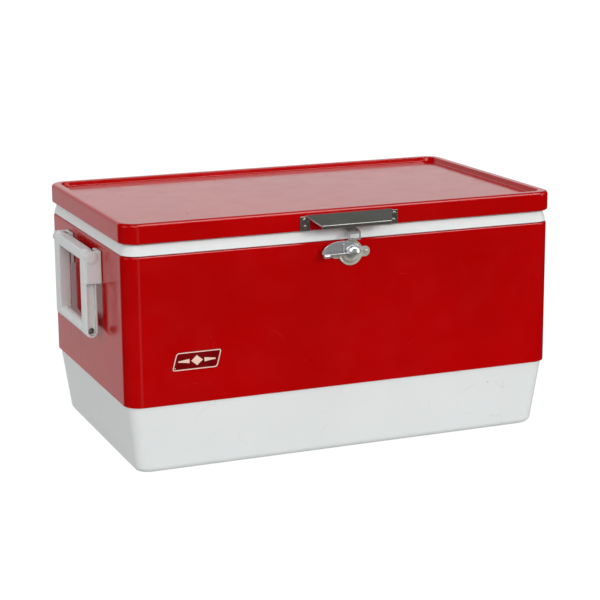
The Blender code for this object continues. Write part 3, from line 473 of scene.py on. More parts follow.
# %% Metals
def bright_metal(name, metallic, clean, dull, roughness, grain_scale, grain_depth, tarnish_scale=55.0,
                 relief=0.05 * MM):
    material, tree, shader, place = start_material(name, Metallic=metallic, IOR=1.6)
    tarnish = use_group(tree, CLOUDS, Vector=place, Scale=tarnish_scale, Contrast=0.2)
    spots = use_group(tree, CHIPS, Vector=place, Scale=420.0, Size=0.2, Rarity=0.93)
    worn = math_node(tree, "MAXIMUM", math_node(tree, "MULTIPLY", tarnish, 0.75), spots)
    colour = mix_colours(tree, worn, clean, dull)
    # Painted shade: crevices darken the metal towards near black.
    shaded = use_group(tree, CREVICE_SHADE, Reach=0.004, Start=0.75)
    colour = mix_colours(tree, math_node(tree, "MULTIPLY", shaded, 0.85), colour, (0.06, 0.055, 0.045))
    tree.links.new(colour, shader.inputs["Base Color"])
    tree.links.new(remap(tree, worn, 0.0, 1.0, roughness, roughness + 0.12), shader.inputs["Roughness"])
    drawn = add_node(tree, "ShaderNodeMapping", {"Vector": place, "Scale": grain_scale}).outputs[0]
    grain = noise(tree, drawn, 1.0)
    height = math_node(tree, "SUBTRACT", grain, math_node(tree, "MULTIPLY", spots, 0.8))
    add_bump(tree, shader, height, grain_depth, relief)
    return material


CHROME = bright_metal("latch_chrome", metallic=0.7, clean=(0.90, 0.92, 0.95), dull=(0.62, 0.63, 0.64),
                      roughness=0.06, grain_scale=(170.0, 170.0, 170.0), grain_depth=0.9, relief=0.6 * MM)
OLD_CHROME = bright_metal("base_chrome", metallic=0.45, clean=(0.86, 0.86, 0.76), dull=(0.50, 0.51, 0.42),
                          roughness=0.18, grain_scale=(200.0, 200.0, 200.0), grain_depth=0.8, relief=0.3 * MM)
PRESSED_STEEL = bright_metal("pressed_steel", metallic=0.88, clean=(0.56, 0.56, 0.53), dull=(0.38, 0.38, 0.33),
                             roughness=0.12, grain_scale=(25.0, 900.0, 900.0), grain_depth=0.1,
                             tarnish_scale=18.0)
ZINC = bright_metal("zinc_plate", metallic=0.75, clean=(0.66, 0.66, 0.64), dull=(0.42, 0.40, 0.35),
                    roughness=0.30, grain_scale=(500.0, 500.0, 500.0), grain_depth=0.6)
print("metals:", [metal.name for metal in (CHROME, OLD_CHROME, PRESSED_STEEL, ZINC)])

# %% [markdown]
# ## Foam, seal and badge
# The foam is cream polyurethane with closed cells. The seal is a soft grey ring. The badge is a thin pressed
# plate with a dark red ground and a cream line, and a plain ornament stands where a maker would put a name.

# %% Foam, seal and badge paints
def cellular_foam():
    material, tree, shader, place = start_material("cream_foam", Roughness=0.9)
    cells = add_node(tree, "ShaderNodeTexVoronoi", {"Vector": place, "Scale": 700.0}).outputs["Distance"]
    tone = use_group(tree, CLOUDS, Vector=place, Scale=20.0, Contrast=0.25)
    colour = mix_colours(tree, tone, (0.72, 0.62, 0.38), (0.82, 0.75, 0.52))
    tree.links.new(mix_colours(tree, remap(tree, cells, 0.5, 0.0), colour, (0.55, 0.45, 0.25)),
                   shader.inputs["Base Color"])
    add_bump(tree, shader, cells, 0.8, 0.5 * MM)
    return material


def soft_rubber():
    material, tree, shader, place = start_material("grey_seal", IOR=1.5)
    tone = use_group(tree, CLOUDS, Vector=place, Scale=40.0, Contrast=0.25)
    tree.links.new(mix_colours(tree, tone, (0.42, 0.42, 0.40), (0.56, 0.56, 0.53)), shader.inputs["Base Color"])
    tree.links.new(remap(tree, tone, 0.0, 1.0, 0.6, 0.8), shader.inputs["Roughness"])
    grain = noise(tree, place, 1200.0)
    add_bump(tree, shader, grain, 0.4, 0.1 * MM)
    return material


def badge_paint(name, deep, bright, roughness):
    material, tree, shader, place = start_material(name, IOR=1.5)
    tone = use_group(tree, CLOUDS, Vector=place, Scale=120.0, Contrast=0.3)
    worn = use_group(tree, CHIPS, Vector=place, Scale=300.0, Size=0.2, Rarity=0.9)
    colour = mix_colours(tree, tone, deep, bright)
    tree.links.new(mix_colours(tree, math_node(tree, "MULTIPLY", worn, 0.2), colour, (0.3, 0.2, 0.15)),
                   shader.inputs["Base Color"])
    tree.links.new(remap(tree, tone, 0.0, 1.0, roughness, roughness + 0.12), shader.inputs["Roughness"])
    grain = noise(tree, place, 1500.0)
    add_bump(tree, shader, grain, 0.3, 0.05 * MM)
    return material


FOAM = cellular_foam()
SEAL = soft_rubber()
BADGE_RED = badge_paint("badge_red", (0.14, 0.0, 0.001), (0.20, 0.0, 0.002), 0.14)
BADGE_CREAM = badge_paint("badge_cream", (0.88, 0.58, 0.48), (0.95, 0.70, 0.58), 0.3)
print("materials in all:", len(bpy.data.materials))

# %% [markdown]
# ## Modelling helpers
# Most fittings are turned, bent or pressed from simple stock, and the helpers work the same way: bar stock with
# rounded edges, turned parts, and plates cut to an outline. Each gives back its own bmesh, which is then stood
# in place and joined with its fellows.

# %% Stock shapes
def bar(low, high, edge=0.0, segments=3):
    """Block between two corners with rounded edges."""
    bm = bmesh.new()
    low, high = Vector(low), Vector(high)
    bmesh.ops.create_cube(bm, size=1.0)
    bmesh.ops.scale(bm, verts=bm.verts, vec=high - low)
    bmesh.ops.translate(bm, verts=bm.verts, vec=(low + high) / 2)
    if edge:
        bmesh.ops.bevel(bm, geom=bm.edges, offset=edge, segments=segments, profile=0.5, affect="EDGES",
                        material=-1)
    return bm


def turned(profile, steps=40):
    """Spin a profile of (radius, height) about +Z; points on the axis close the ends."""
    bm = bmesh.new()
    verts = [bm.verts.new((radius, 0.0, height)) for radius, height in profile]
    edges = [bm.edges.new(pair) for pair in zip(verts, verts[1:])]
    bmesh.ops.spin(bm, geom=verts + edges, cent=(0, 0, 0), axis=(0, 0, 1), dvec=(0, 0, 0),
                   angle=math.radians(360.0), steps=steps, use_merge=True, use_duplicate=False)
    bmesh.ops.remove_doubles(bm, verts=bm.verts, dist=0.002 * MM)
    return bm


def arc(across, up, radius, start_deg, end_deg, steps=6):
    """Points on an arc about (across, up); 0 degrees lies outwards and 90 degrees points up."""
    turn = [math.radians(start_deg + (end_deg - start_deg) * step / steps) for step in range(steps + 1)]
    return [(across + radius * math.cos(angle), up + radius * math.sin(angle)) for angle in turn]


def rod_profile(radius, low, high, edge=0.3 * MM):
    """Profile of a plain bar with rounded ends."""
    foot = arc(radius - edge, low + edge, edge, -90, 0, 3)
    head = arc(radius - edge, high - edge, edge, 0, 90, 3)
    return [(0, low)] + foot + head + [(0, high)]


def soften(bm, edge, segments=3, least_deg=40.0):
    """Round every edge that is sharper than an angle."""
    sharp = [e for e in bm.edges if e.is_manifold and e.calc_face_angle() > math.radians(least_deg)]
    bmesh.ops.bevel(bm, geom=sharp, offset=edge, segments=segments, profile=0.5, affect="EDGES",
                    clamp_overlap=True, material=-1)
    return bm


def pulled(bm, shift):
    """Give flat faces a thickness: extrude all of them by a vector."""
    made = bmesh.ops.extrude_face_region(bm, geom=list(bm.faces))
    far = [item for item in made["geom"] if isinstance(item, bmesh.types.BMVert)]
    bmesh.ops.translate(bm, verts=far, vec=shift)
    return bm


def everything(bm):
    """All the geometry of a part, as a plane cut wants it."""
    return list(bm.verts) + list(bm.edges) + list(bm.faces)


def plate(corners, thickness, corner_radius=0.0, edge=0.0, corner_segments=6):
    """Flat plate on the ground: an outline with rounded corners, pulled up to its thickness."""
    bm = bmesh.new()
    outline = [bm.verts.new((x, y, 0.0)) for x, y in corners]
    bm.faces.new(outline)
    if corner_radius:
        bmesh.ops.bevel(bm, geom=outline, offset=corner_radius, segments=corner_segments, profile=0.5,
                        affect="VERTICES", material=-1)
    pulled(bm, (0, 0, thickness))
    return soften(bm, edge, 2) if edge else bm


def placed(bm, matrix):
    """Move a part by a matrix."""
    bmesh.ops.transform(bm, matrix=matrix, verts=bm.verts)
    return bm


def joined(*parts):
    """Put several parts into one bmesh."""
    whole = bmesh.new()
    for part in parts:
        mesh = bpy.data.meshes.new("part")
        part.to_mesh(mesh)
        part.free()
        whole.from_mesh(mesh)
        bpy.data.meshes.remove(mesh)
    return whole


def carved(bm, cutter, operation="DIFFERENCE"):
    """Cut one closed part with another, or unite them, and give back the result."""
    things = []
    for part in (bm, cutter):
        bmesh.ops.recalc_face_normals(part, faces=part.faces)
        mesh = bpy.data.meshes.new("part")
        part.to_mesh(mesh)
        part.free()
        things.append(bpy.data.objects.new("part", mesh))
        bpy.context.scene.collection.objects.link(things[-1])
    cut = things[0].modifiers.new("cut", "BOOLEAN")
    cut.operation = operation
    cut.solver = "EXACT"
    cut.object = things[1]
    bpy.context.view_layer.update()
    result = bmesh.new()
    result.from_object(things[0], bpy.context.evaluated_depsgraph_get())
    for thing in things:
        bpy.data.objects.remove(thing)
    return result


# %% Standing a part up against a face of the chest
def on_front(x, z, out=0.0):
    """A part's +Y becomes up and its +Z comes forward from the belt's face."""
    return Matrix.Translation((x, BELT_FRONT - out, z)) @ Matrix.Rotation(math.radians(90.0), 4, "X")


def along(place, direction):
    """A part's +Z points along a direction, from a place."""
    return Matrix.Translation(place) @ Vector(direction).to_track_quat("Z", "Y").to_matrix().to_4x4()


# %% Making a finished piece
def finish_piece(name, bm, body, slot, replaced, *paints, smooth_deg=38.0, weld=0.001 * MM):
    """Close seams, turn the faces outwards, shade, paint, and hang the piece on its body."""
    bmesh.ops.remove_doubles(bm, verts=bm.verts, dist=weld)
    bmesh.ops.recalc_face_normals(bm, faces=bm.faces)
    mesh = bpy.data.meshes.new(name)
    bm.to_mesh(mesh)
    bm.free()
    mesh.shade_smooth()
    mesh.set_sharp_from_angle(angle=math.radians(smooth_deg))
    piece = bpy.data.objects.new(name, mesh)
    bpy.context.scene.collection.objects.link(piece)
    for paint in paints:
        mesh.materials.append(paint)
    flat_sides = piece.modifiers.new("flat_sides", "WEIGHTED_NORMAL")
    flat_sides.keep_sharp = True
    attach(piece, body)
    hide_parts(*replaced)
    print(name, len(mesh.polygons), "faces")
    return piece


# %% [markdown]
# ## Shells
# Belt, lid, base, liner and lid pan all follow the chest's outline. Each is one section carried round a
# rounded rectangle. The ring starts as a circle whose four quarters are pulled apart, which gives round corners
# and straight sides at once. To follow the section, the ring is extruded again and again, and each corner is
# scaled about its own centre, so that the corner radius shrinks as the wall moves in.

# %% Rings round the chest
CORNER_STEPS = 12
OUTER_CORNER = 23.0 * MM
LEAST_CORNER = 14.0 * MM


def corner_radius(inset):
    """Radius of the outline's corners where the wall is set in this far."""
    return max(OUTER_CORNER - inset, LEAST_CORNER)


def corner_centre(side_x, side_y, inset):
    """Centre of one corner's round."""
    back = inset + corner_radius(inset)
    return Vector((side_x * (HALF_LENGTH - back), side_y * (HALF_DEPTH - back), 0.0))


def corners_of(verts):
    """The vertices of each quarter, with the quarter's signs."""
    quarters = [(side_x, side_y) for side_x in (-1, 1) for side_y in (-1, 1)]
    return [(x, y, [v for v in verts if v.co.x * x > 0 and v.co.y * y > 0]) for x, y in quarters]


def lay_ring(bm, inset, z):
    """First ring: a circle with its quarters pulled apart. Gives back its edges."""
    made = bmesh.ops.create_circle(bm, cap_ends=False, radius=corner_radius(inset), segments=4 * CORNER_STEPS)
    half_step = Matrix.Rotation(math.radians(45.0 / CORNER_STEPS), 3, "Z")
    bmesh.ops.rotate(bm, verts=made["verts"], cent=(0, 0, 0), matrix=half_step)
    for side_x, side_y, corner in corners_of(made["verts"]):
        bmesh.ops.translate(bm, verts=corner, vec=corner_centre(side_x, side_y, inset) + Vector((0, 0, z)))
    return list({edge for vert in made["verts"] for edge in vert.link_edges})


def pull_ring(bm, edges, before, after):
    """Extrude a ring from one (inset, z) of the section to the next. Gives back the new ring's edges."""
    made = bmesh.ops.extrude_edge_only(bm, edges=edges)["geom"]
    verts = [item for item in made if isinstance(item, bmesh.types.BMVert)]
    grow = corner_radius(after[0]) / corner_radius(before[0])
    for side_x, side_y, corner in corners_of(verts):
        centre = corner_centre(side_x, side_y, before[0])
        bmesh.ops.scale(bm, verts=corner, vec=(grow, grow, 1.0), space=Matrix.Translation(-centre))
        shift = corner_centre(side_x, side_y, after[0]) - centre + Vector((0, 0, after[1] - before[1]))
        bmesh.ops.translate(bm, verts=corner, vec=shift)
    fresh = set(verts)
    return list({edge for vert in verts for edge in vert.link_edges if set(edge.verts) <= fresh})


def carry_round(section, closed=False):
    """Carry a section of (inset, z) points round the chest: a hoop if closed, a tray if capped at both ends."""
    bm = bmesh.new()
    points = section + section[:1] if closed else section
    ring = lay_ring(bm, *points[0])
    ends = [ring]
    for before, after in zip(points, points[1:]):
        ring = pull_ring(bm, ring, before, after)
    if not closed:
        for end in (ends[0], ring):
            bmesh.ops.edgeloop_fill(bm, edges=end)
    bmesh.ops.remove_doubles(bm, verts=bm.verts, dist=0.005 * MM)
    return bm


def wall_arc(inset, z, radius, start_deg, end_deg, steps=6):
    """Arc in a wall's section; 0 degrees points outwards and 90 degrees up."""
    return [(2 * inset - x, up) for x, up in arc(inset, z, radius, start_deg, end_deg, steps)]


# %% [markdown]
# ## The steel belt
# The belt is one strip of steel, rolled over at the top into a lip under the liner's rim and turned in at the
# bottom. The roll catches a bright line of light, so it gets plenty of segments.

# %% Belt
def belt_section():
    roll = 3.0 * MM
    hem = 0.8 * MM
    roll_inset, roll_z = BELT_INSET + roll, belt_high.z - roll
    hem_end = BELT_INSET + 3.0 * MM
    lip_end = BELT_INSET + 8.5 * MM
    foot = belt_low.z
    outside = [(hem_end, foot)] + wall_arc(BELT_INSET + hem, foot + hem, hem, -90, 0, 4)
    outside += wall_arc(roll_inset, roll_z, roll, 0, 90, 8)
    inside = [(lip_end, belt_high.z), (lip_end, belt_high.z - STEEL)]
    inside += wall_arc(roll_inset, roll_z, roll - STEEL, 90, 0, 6)
    inside += [(BELT_INSET + STEEL, foot + STEEL), (hem_end, foot + STEEL)]
    return outside + inside


belt = carry_round(belt_section(), closed=True)
finish_piece("steel_belt", belt, "chest", "red_enamel", ["body_shell"], RED_ENAMEL)

# %% [markdown]
# ## The steel lid
# The lid is pressed in one stroke: a raised rim runs round a sunk panel, the top edge is rounded, and the lower
# edge is rolled in so that it can't cut a hand.

# %% Lid
def lid_section():
    edge, hem = 4.5 * MM, 2.5 * MM
    panel = LID_TOP - 6.0 * MM
    rim, foot_inset = 11.0 * MM, 13.5 * MM
    blend = 1.6 * MM
    outside = wall_arc(foot_inset + 1.4 * MM, panel + blend, blend, -90, -25, 4)
    outside += wall_arc(rim - 0.6 * MM, LID_TOP - blend, blend, -205, -270, 4)
    outside += wall_arc(edge, LID_TOP - edge, edge, 90, 0, 8)
    outside += wall_arc(hem, LID_FOOT + hem, hem, 0, -90, 6)
    hem_end = 5.0 * MM
    inside = [(hem_end, LID_FOOT), (hem_end, LID_FOOT + STEEL)]
    inside += wall_arc(hem, LID_FOOT + hem, hem - STEEL, -90, 0, 5)
    inside += wall_arc(edge, LID_TOP - edge, edge - STEEL, 0, 90, 6)
    inside += [(rim - 2.1 * MM, LID_TOP - STEEL), (rim - 1.3 * MM, LID_TOP - STEEL - 0.5 * MM)]
    inside += [(foot_inset - 0.9 * MM, panel - STEEL)]
    return outside + inside


finish_piece("steel_lid", carry_round(lid_section()), "lid", "red_enamel", ["lid_shell"], RED_ENAMEL)

# %% [markdown]
# ## The white base
# A deep tray with walls that lean in towards the foot, so that it leaves its mould, and a broad round where the
# wall meets the floor. Its lip stands up inside the belt, where nobody sees it.

# %% Base
def base_section():
    top_inset, foot_inset, fillet, wall = 4.9 * MM, 14.5 * MM, 10.0 * MM, 3.0 * MM
    wall_top, lip_top = 84.0 * MM, 105.0 * MM
    centre = foot_inset + fillet
    outside = wall_arc(centre, fillet, fillet, -90, 0, 10) + [(top_inset, wall_top), (top_inset, lip_top)]
    inside = [(top_inset + wall, lip_top), (top_inset + wall, wall_top)]
    return outside + inside + wall_arc(centre, fillet, fillet - wall, 0, -90, 6)


DRAIN_PLACE = Vector(joints["drain_cap_turn"]["pos_m"])
DRAIN_AXIS = Vector(joints["drain_cap_turn"]["axis"])
SPOUT_RADIUS = 9.5 * MM
SPOUT_BORE = 6.5 * MM


def drain_drill(radius, low, high):
    """A cutter along the drain's axis, measured outwards from the base's wall."""
    return placed(turned([(0, low), (radius, low), (radius, high), (0, high)]), along(DRAIN_PLACE, DRAIN_AXIS))


base = carved(carry_round(base_section()), drain_drill(SPOUT_RADIUS + GAP, -12.0 * MM, 12.0 * MM))
finish_piece("plastic_base", base, "chest", "white_plastic", ["base_tub"], WHITE_PLASTIC)

# %% [markdown]
# ## The liner and its white band
# The liner is formed over a male tool from one sheet. Its rim turns out over the foam and down again, and the
# edge of that rim is the white band between the belt and the lid. The band leans in a little towards the top.

# %% Liner
def liner_section():
    wall_top, wall_foot, wall = 24.0 * MM, 29.0 * MM, 3.0 * MM
    under, floor, fillet = 25.0 * MM, 28.0 * MM, 4.0 * MM
    band_foot, round_edge = belt_high.z + GAP, 1.4 * MM
    outside = wall_arc(wall_foot + fillet, under + fillet, fillet, -90, 0, 4)
    rim = [(wall_top, band_foot)] + wall_arc(3.1 * MM, band_foot + 0.8 * MM, 0.8 * MM, -90, -10, 3)
    rim += wall_arc(6.0 * MM + round_edge, BAND_TOP - round_edge, round_edge, 15, 90, 6)
    mouth = wall_top + wall
    rim += wall_arc(mouth - 1.6 * MM, BAND_TOP - 1.6 * MM, 1.6 * MM, 90, 180, 6)
    inner = fillet - 1.0 * MM
    inside = wall_arc(wall_foot + wall + inner, floor + inner, inner, 0, -90, 6)
    return outside + rim + inside


liner = carved(carry_round(liner_section()), drain_drill(SPOUT_BORE, -32.0 * MM, -12.0 * MM))
finish_piece("white_liner", liner, "chest", "white_plastic", ["inner_liner"], WHITE_PLASTIC)

# %% Pan and seal under the lid
def lid_pan_section():
    plug, plug_foot, fillet, wall = 28.5 * MM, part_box("lid_liner")[0].z, 8.0 * MM, 2.0 * MM
    under = 287.5 * MM
    edge = STEEL + 2 * GAP
    centre, centre_z = plug + 1.0 * MM + fillet, plug_foot + fillet
    groove, depth = 14.0 * MM, 1.2 * MM
    field = [(centre + groove + 6.0 * MM, plug_foot), (centre + groove + 4.5 * MM, plug_foot + depth)]
    field += [(centre + groove + 1.5 * MM, plug_foot + depth), (centre + groove, plug_foot)]
    outside = field + wall_arc(centre, centre_z, fillet, -90, 0, 8) + [(plug, under), (edge, under)]
    flange = [(edge, under + 1.7 * MM), (plug + wall, under + 1.7 * MM)]
    inside = wall_arc(centre, centre_z, fillet - wall, 0, -90, 6)
    return outside + flange + inside


finish_piece("lid_pan", carry_round(lid_pan_section()), "lid", "white_plastic", ["lid_liner"], WHITE_PLASTIC)


def seal_section():
    foot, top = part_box("lid_gasket")[0].z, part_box("lid_gasket")[1].z
    middle, half = (foot + top) / 2, (top - foot) / 2
    return wall_arc(9.0 * MM, middle, half, -90, 90, 6) + wall_arc(15.0 * MM, middle, half, 90, 270, 6)


finish_piece("lid_seal", carry_round(seal_section(), closed=True), "lid", "seal_rubber", ["lid_gasket"], SEAL)

# %% Foam
for node, body in (("body_insulation", "chest"), ("lid_insulation", "lid")):
    foam = frame["nodes"][node]
    foam.data.materials.clear()
    foam.data.materials.append(FOAM)
    print(node, "painted; it rides on", body)

# %% [markdown]
# ## Screws and rivets
# A screw's head is turned as a shallow dome and its slot is cut with a thin bar. The shank goes down the hole in
# the plate. Rivets are the same shape without a slot.

# %% Screws
def fastener(head, depth, slot_deg=None, shank=1.3 * MM):
    """Domed head standing on z = 0 over a short shank; a slot if an angle is given."""
    crown = [(head * math.cos(math.radians(a)), 0.2 * head + 0.42 * head * math.sin(math.radians(a)))
             for a in (0, 18, 36, 54, 72)]
    profile = [(0, -depth), (shank, -depth), (shank, 0), (head, 0)] + crown + [(0, 0.62 * head)]
    bm = turned(profile, steps=24)
    if slot_deg is None:
        return bm
    half_slot = 0.13 * head
    slot = bar((-1.2 * head, -half_slot, 0.28 * head), (1.2 * head, half_slot, head))
    return carved(bm, placed(slot, Matrix.Rotation(math.radians(slot_deg), 4, "Z")))


def head_seat(node, forward):
    """Where a fastener's head sits, for heads that point along -Y (forward) or +Y."""
    low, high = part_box(node)
    middle = (low + high) / 2
    head = (high.x - low.x) / 2
    seat = low.y + 0.62 * head if forward else high.y - 0.62 * head
    return Vector((middle.x, seat, middle.z)), head, (high.y - low.y) - 0.62 * head


def set_fastener(node, body, slot, paint, forward=True, slot_deg=None):
    """Make the fine fastener that stands for a frame's fastener."""
    seat, head, depth = head_seat(node, forward)
    bm = placed(fastener(head, depth, slot_deg), along(seat, (0, -1 if forward else 1, 0)))
    finish_piece(node + "_turned", bm, body, slot, [node], paint)


SLOT_ANGLES = {"latch_screw_left": 20.0, "latch_screw_right": -38.0}
for node, slot_deg in SLOT_ANGLES.items():
    set_fastener(node, "chest", "chrome", OLD_CHROME, slot_deg=slot_deg)
for node in ("lid_hasp_rivet_upper", "lid_hasp_rivet_lower"):
    set_fastener(node, "lid", "chrome", CHROME)
for number, node in enumerate(sorted(name for name in frame["nodes"] if name.startswith("lid_handle_screw"))):
    set_fastener(node, "lid", "polished_steel", PRESSED_STEEL, slot_deg=15.0 + 47.0 * number)
for number, node in enumerate(sorted(name for name in frame["nodes"] if "hinge_screw" in name)):
    set_fastener(node, "lid" if "_lid_" in node else "chest", "zinc_steel", ZINC, forward=False,
                 slot_deg=10.0 + 61.0 * number)

# %% [markdown]
# ## The turn latch
# The base is a round pressed plate with two ears, and a boss that the lever turns on. The lever is a die-cast
# half moon. A flange stiffens its straight edge, a half dome on a low step covers the hub, and the tip curls
# forward for a thumb. All of it is modelled flat on the ground, centred on the latch's axis, and then stood up.

# %% Latch base
LATCH = Vector(joints["latch_turn"]["pos_m"])
LATCH_EAR_REACH = 19.3 * MM
LATCH_PLATE_FRONT = 1.8 * MM
BOSS_FRONT = 5.0 * MM


def latch_base():
    ear, disc, boss = 6.5 * MM, 16.0 * MM, 11.5 * MM
    front, rim = LATCH_PLATE_FRONT, 0.7 * MM
    reach = LATCH_EAR_REACH + ear
    corners = [(-reach, -ear), (reach, -ear), (reach, ear), (-reach, ear)]
    ears = plate(corners, front - GAP, corner_radius=ear * 0.999, edge=0.4 * MM, corner_segments=12)
    ears = placed(ears, Matrix.Translation((0, 0, GAP)))
    dish = [(0, GAP), (disc - 0.4 * MM, GAP), (disc, GAP + 0.4 * MM)]
    dish += arc(disc - rim, front + 0.3 * MM, rim, 0, 90, 4)
    dish += [(disc - 2.2 * MM, front + 0.5 * MM), (boss + 1.6 * MM, front + 0.4 * MM)]
    dish += [(boss + 0.4 * MM, front + 0.9 * MM), (boss, front + 1.6 * MM)]
    dish += arc(boss - 1.0 * MM, BOSS_FRONT - 1.0 * MM, 1.0 * MM, 0, 90, 4)
    ring, well, bore, bottom = 8.0 * MM, BOSS_FRONT - 0.6 * MM, 2.7 * MM, BOSS_FRONT - 2.0 * MM
    dish += [(ring + 0.6 * MM, BOSS_FRONT - 0.1 * MM), (ring, well), (bore + 0.3 * MM, well)]
    dish += [(bore, BOSS_FRONT - 1.0 * MM), (bore, bottom), (0, bottom)]
    return joined(ears, turned(dish, 64))


finish_piece("latch_plate", placed(latch_base(), on_front(LATCH.x, LATCH.z)), "chest", "chrome", ["latch_base"],
             OLD_CHROME)
pin = turned(rod_profile(2.4 * MM, GAP, 10.7 * MM))
finish_piece("latch_rivet", placed(pin, on_front(LATCH.x, LATCH.z)), "chest", "chrome", ["latch_pivot"], CHROME)

# %% Latch lever
def half_moon(long, high, low_z, high_z, edge):
    """Half an ellipse above the x axis, with softened edges."""
    bm = bmesh.new()
    bmesh.ops.create_circle(bm, cap_ends=True, radius=1.0, segments=64)
    bmesh.ops.scale(bm, verts=bm.verts, vec=(long, high, 1.0))
    bmesh.ops.bisect_plane(bm, geom=everything(bm), plane_co=(0, 0, 0), plane_no=(0, 1, 0), clear_inner=True)
    bmesh.ops.translate(bm, verts=bm.verts, vec=(0, 0, low_z))
    pulled(bm, (0, 0, high_z - low_z))
    return soften(bm, edge, 3)


def halved(bm, height):
    """Keep what lies above a level of Y, and close the cut."""
    cut = bmesh.ops.bisect_plane(bm, geom=everything(bm), plane_co=(0, height, 0), plane_no=(0, 1, 0),
                                 clear_inner=True)
    rim = [item for item in cut["geom_cut"] if isinstance(item, bmesh.types.BMEdge)]
    bmesh.ops.edgeloop_fill(bm, edges=rim)
    return bm


def latch_lever():
    edge = 1.7 * MM
    back, front = 9.0 * MM, 10.6 * MM
    moon = half_moon(long=25.5 * MM, high=15.0 * MM, low_z=back, high_z=front, edge=0.5 * MM)
    moon = placed(moon, Matrix.Translation((-15.5 * MM, edge, 0)))
    dome = [(0, back), (11.2 * MM, back), (11.2 * MM, front + 1.0 * MM)]
    dome += arc(10.4 * MM, front + 1.0 * MM, 0.8 * MM, 20, 90, 4)
    step = front + 1.5 * MM
    dome += [(10.1 * MM, front + 1.8 * MM), (9.9 * MM, step)]
    turns = [math.radians(15.0 * turn) for turn in range(6)]
    cap_radius, cap_rise = 9.7 * MM, 3.8 * MM
    dome += [(cap_radius * math.cos(turn), step + cap_rise * math.sin(turn)) for turn in turns]
    dome += [(0, step + cap_rise)]
    cap = halved(turned(dome, 64), edge)
    hub = turned(rod_profile(5.0 * MM, 5.3 * MM, back + 0.8 * MM, 0.4 * MM))
    flange = bar((-37.5 * MM, edge - 0.8 * MM, back - 0.3 * MM), (8.9 * MM, edge + 0.7 * MM, 15.0 * MM),
                 0.45 * MM)
    rib = placed(bar((-1.0 * MM, 0, 0), (1.0 * MM, 12.0 * MM, 2.6 * MM), 0.9 * MM, 4),
                 Matrix.Translation((-13.4 * MM, edge, front - 0.6 * MM)))
    curl = placed(turned(rod_profile(2.3 * MM, 0, 8.0 * MM, 0.9 * MM), 24),
                  Matrix.Translation((-40.0 * MM, -0.4 * MM, 14.0 * MM))
                  @ Matrix.Rotation(math.radians(90.0), 4, "Y"))
    tip = bar((-39.6 * MM, -1.6 * MM, 9.2 * MM), (-32.4 * MM, edge + 0.6 * MM, 14.6 * MM), 0.6 * MM)
    return joined(moon, cap, hub, flange, rib, curl, tip)


finish_piece("turn_lever", placed(latch_lever(), on_front(LATCH.x, LATCH.z)), "latch_lever", "chrome",
             ["latch_lever"], CHROME)

# %% [markdown]
# ## Hasp and lid pull
# Both are strips of sheet metal bent on a brake. Each is drawn as the outline of its section, pulled out along
# X, and its edges are softened. The hasp's window is punched through afterwards. The pull's sloping awning is
# cut to a slant at both ends with two planes.

# %% Bent strips
def bent_strip(section, low_x, high_x, edge):
    """Pull a section of (y, z) points out along X, and soften its edges."""
    bm = bmesh.new()
    verts = [bm.verts.new((low_x, y, z)) for y, z in section]
    bm.faces.new(verts)
    pulled(bm, (high_x - low_x, 0, 0))
    return soften(bm, edge, 3, 25.0) if edge else bm


hasp_low, hasp_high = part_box("lid_hasp")
LEAF = 1.5 * MM


def hasp_strap():
    back, front = hasp_high.y, hasp_low.y
    face = back - LEAF
    root, nose = 284.9 * MM, 282.7 * MM
    section = [(back, hasp_high.z), (back, root - LEAF)]
    section += [(front + LEAF, nose - LEAF), (front + LEAF, hasp_low.z)]
    section += [(front, hasp_low.z), (front, nose), (face, root), (face, hasp_high.z)]
    strap = bent_strip(section, hasp_low.x, hasp_high.x, 0.0)
    middle = (hasp_low.x + hasp_high.x) / 2
    half = 6.3 * MM
    window_low, window_high, past = 274.1 * MM, 280.1 * MM, 2.0 * MM
    punch = bar((middle - half, front - past, window_low), (middle + half, front + LEAF + past, window_high))
    return soften(carved(strap, punch), 0.35 * MM, 3, 30.0)


finish_piece("hasp_strap", hasp_strap(), "lid", "chrome", ["lid_hasp"], CHROME)

# %% Lid pull
pull_low, pull_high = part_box("lid_handle")
PULL_X = (pull_low.x + pull_high.x) / 2


def lid_pull():
    back, front = pull_high.y, pull_low.y
    face = back - LEAF
    top, strip = 303.5 * MM, 300.2 * MM
    awning, lip = 295.0 * MM, 291.0 * MM
    top_half, front_half = 57.4 * MM, 45.2 * MM
    section = [(back, pull_high.z - 0.8 * MM), (back, top - 1.0 * MM), (face, top - 1.0 * MM)]
    section += [(front + LEAF, awning - 1.6 * MM), (front + LEAF, lip), (front, lip), (front, awning)]
    section += [(face, pull_high.z)]
    sheet = bent_strip(section, PULL_X - top_half, PULL_X + top_half, 0.0)
    for side in (-1, 1):
        across = Vector((side * (face - front), front_half - top_half, 0)).normalized()
        corner = (PULL_X + side * top_half, face, 0)
        cut = bmesh.ops.bisect_plane(sheet, geom=everything(sheet), plane_co=corner, plane_no=across,
                                     clear_outer=True)
        rim = [item for item in cut["geom_cut"] if isinstance(item, bmesh.types.BMEdge)]
        bmesh.ops.edgeloop_fill(sheet, edges=rim)
    bmesh.ops.remove_doubles(sheet, verts=sheet.verts, dist=0.01 * MM)
    bmesh.ops.recalc_face_normals(sheet, faces=sheet.faces)
    soften(sheet, 0.5 * MM, 4, 20.0)
    parts = [sheet, bar((pull_low.x, face, strip), (pull_high.x, back, top), 0.4 * MM)]
    for side in (-1, 1):
        low_x, high_x = sorted((PULL_X + side * (pull_high.x - PULL_X), PULL_X + side * 52.0 * MM))
        low, high = (low_x, face + 0.02 * MM, pull_low.z), (high_x, back - 0.02 * MM, strip + 1.5 * MM)
        parts.append(bar(low, high, 0.4 * MM))
    return joined(*parts)


finish_piece("lid_pull", lid_pull(), "lid", "polished_steel", ["lid_handle"], PRESSED_STEEL)

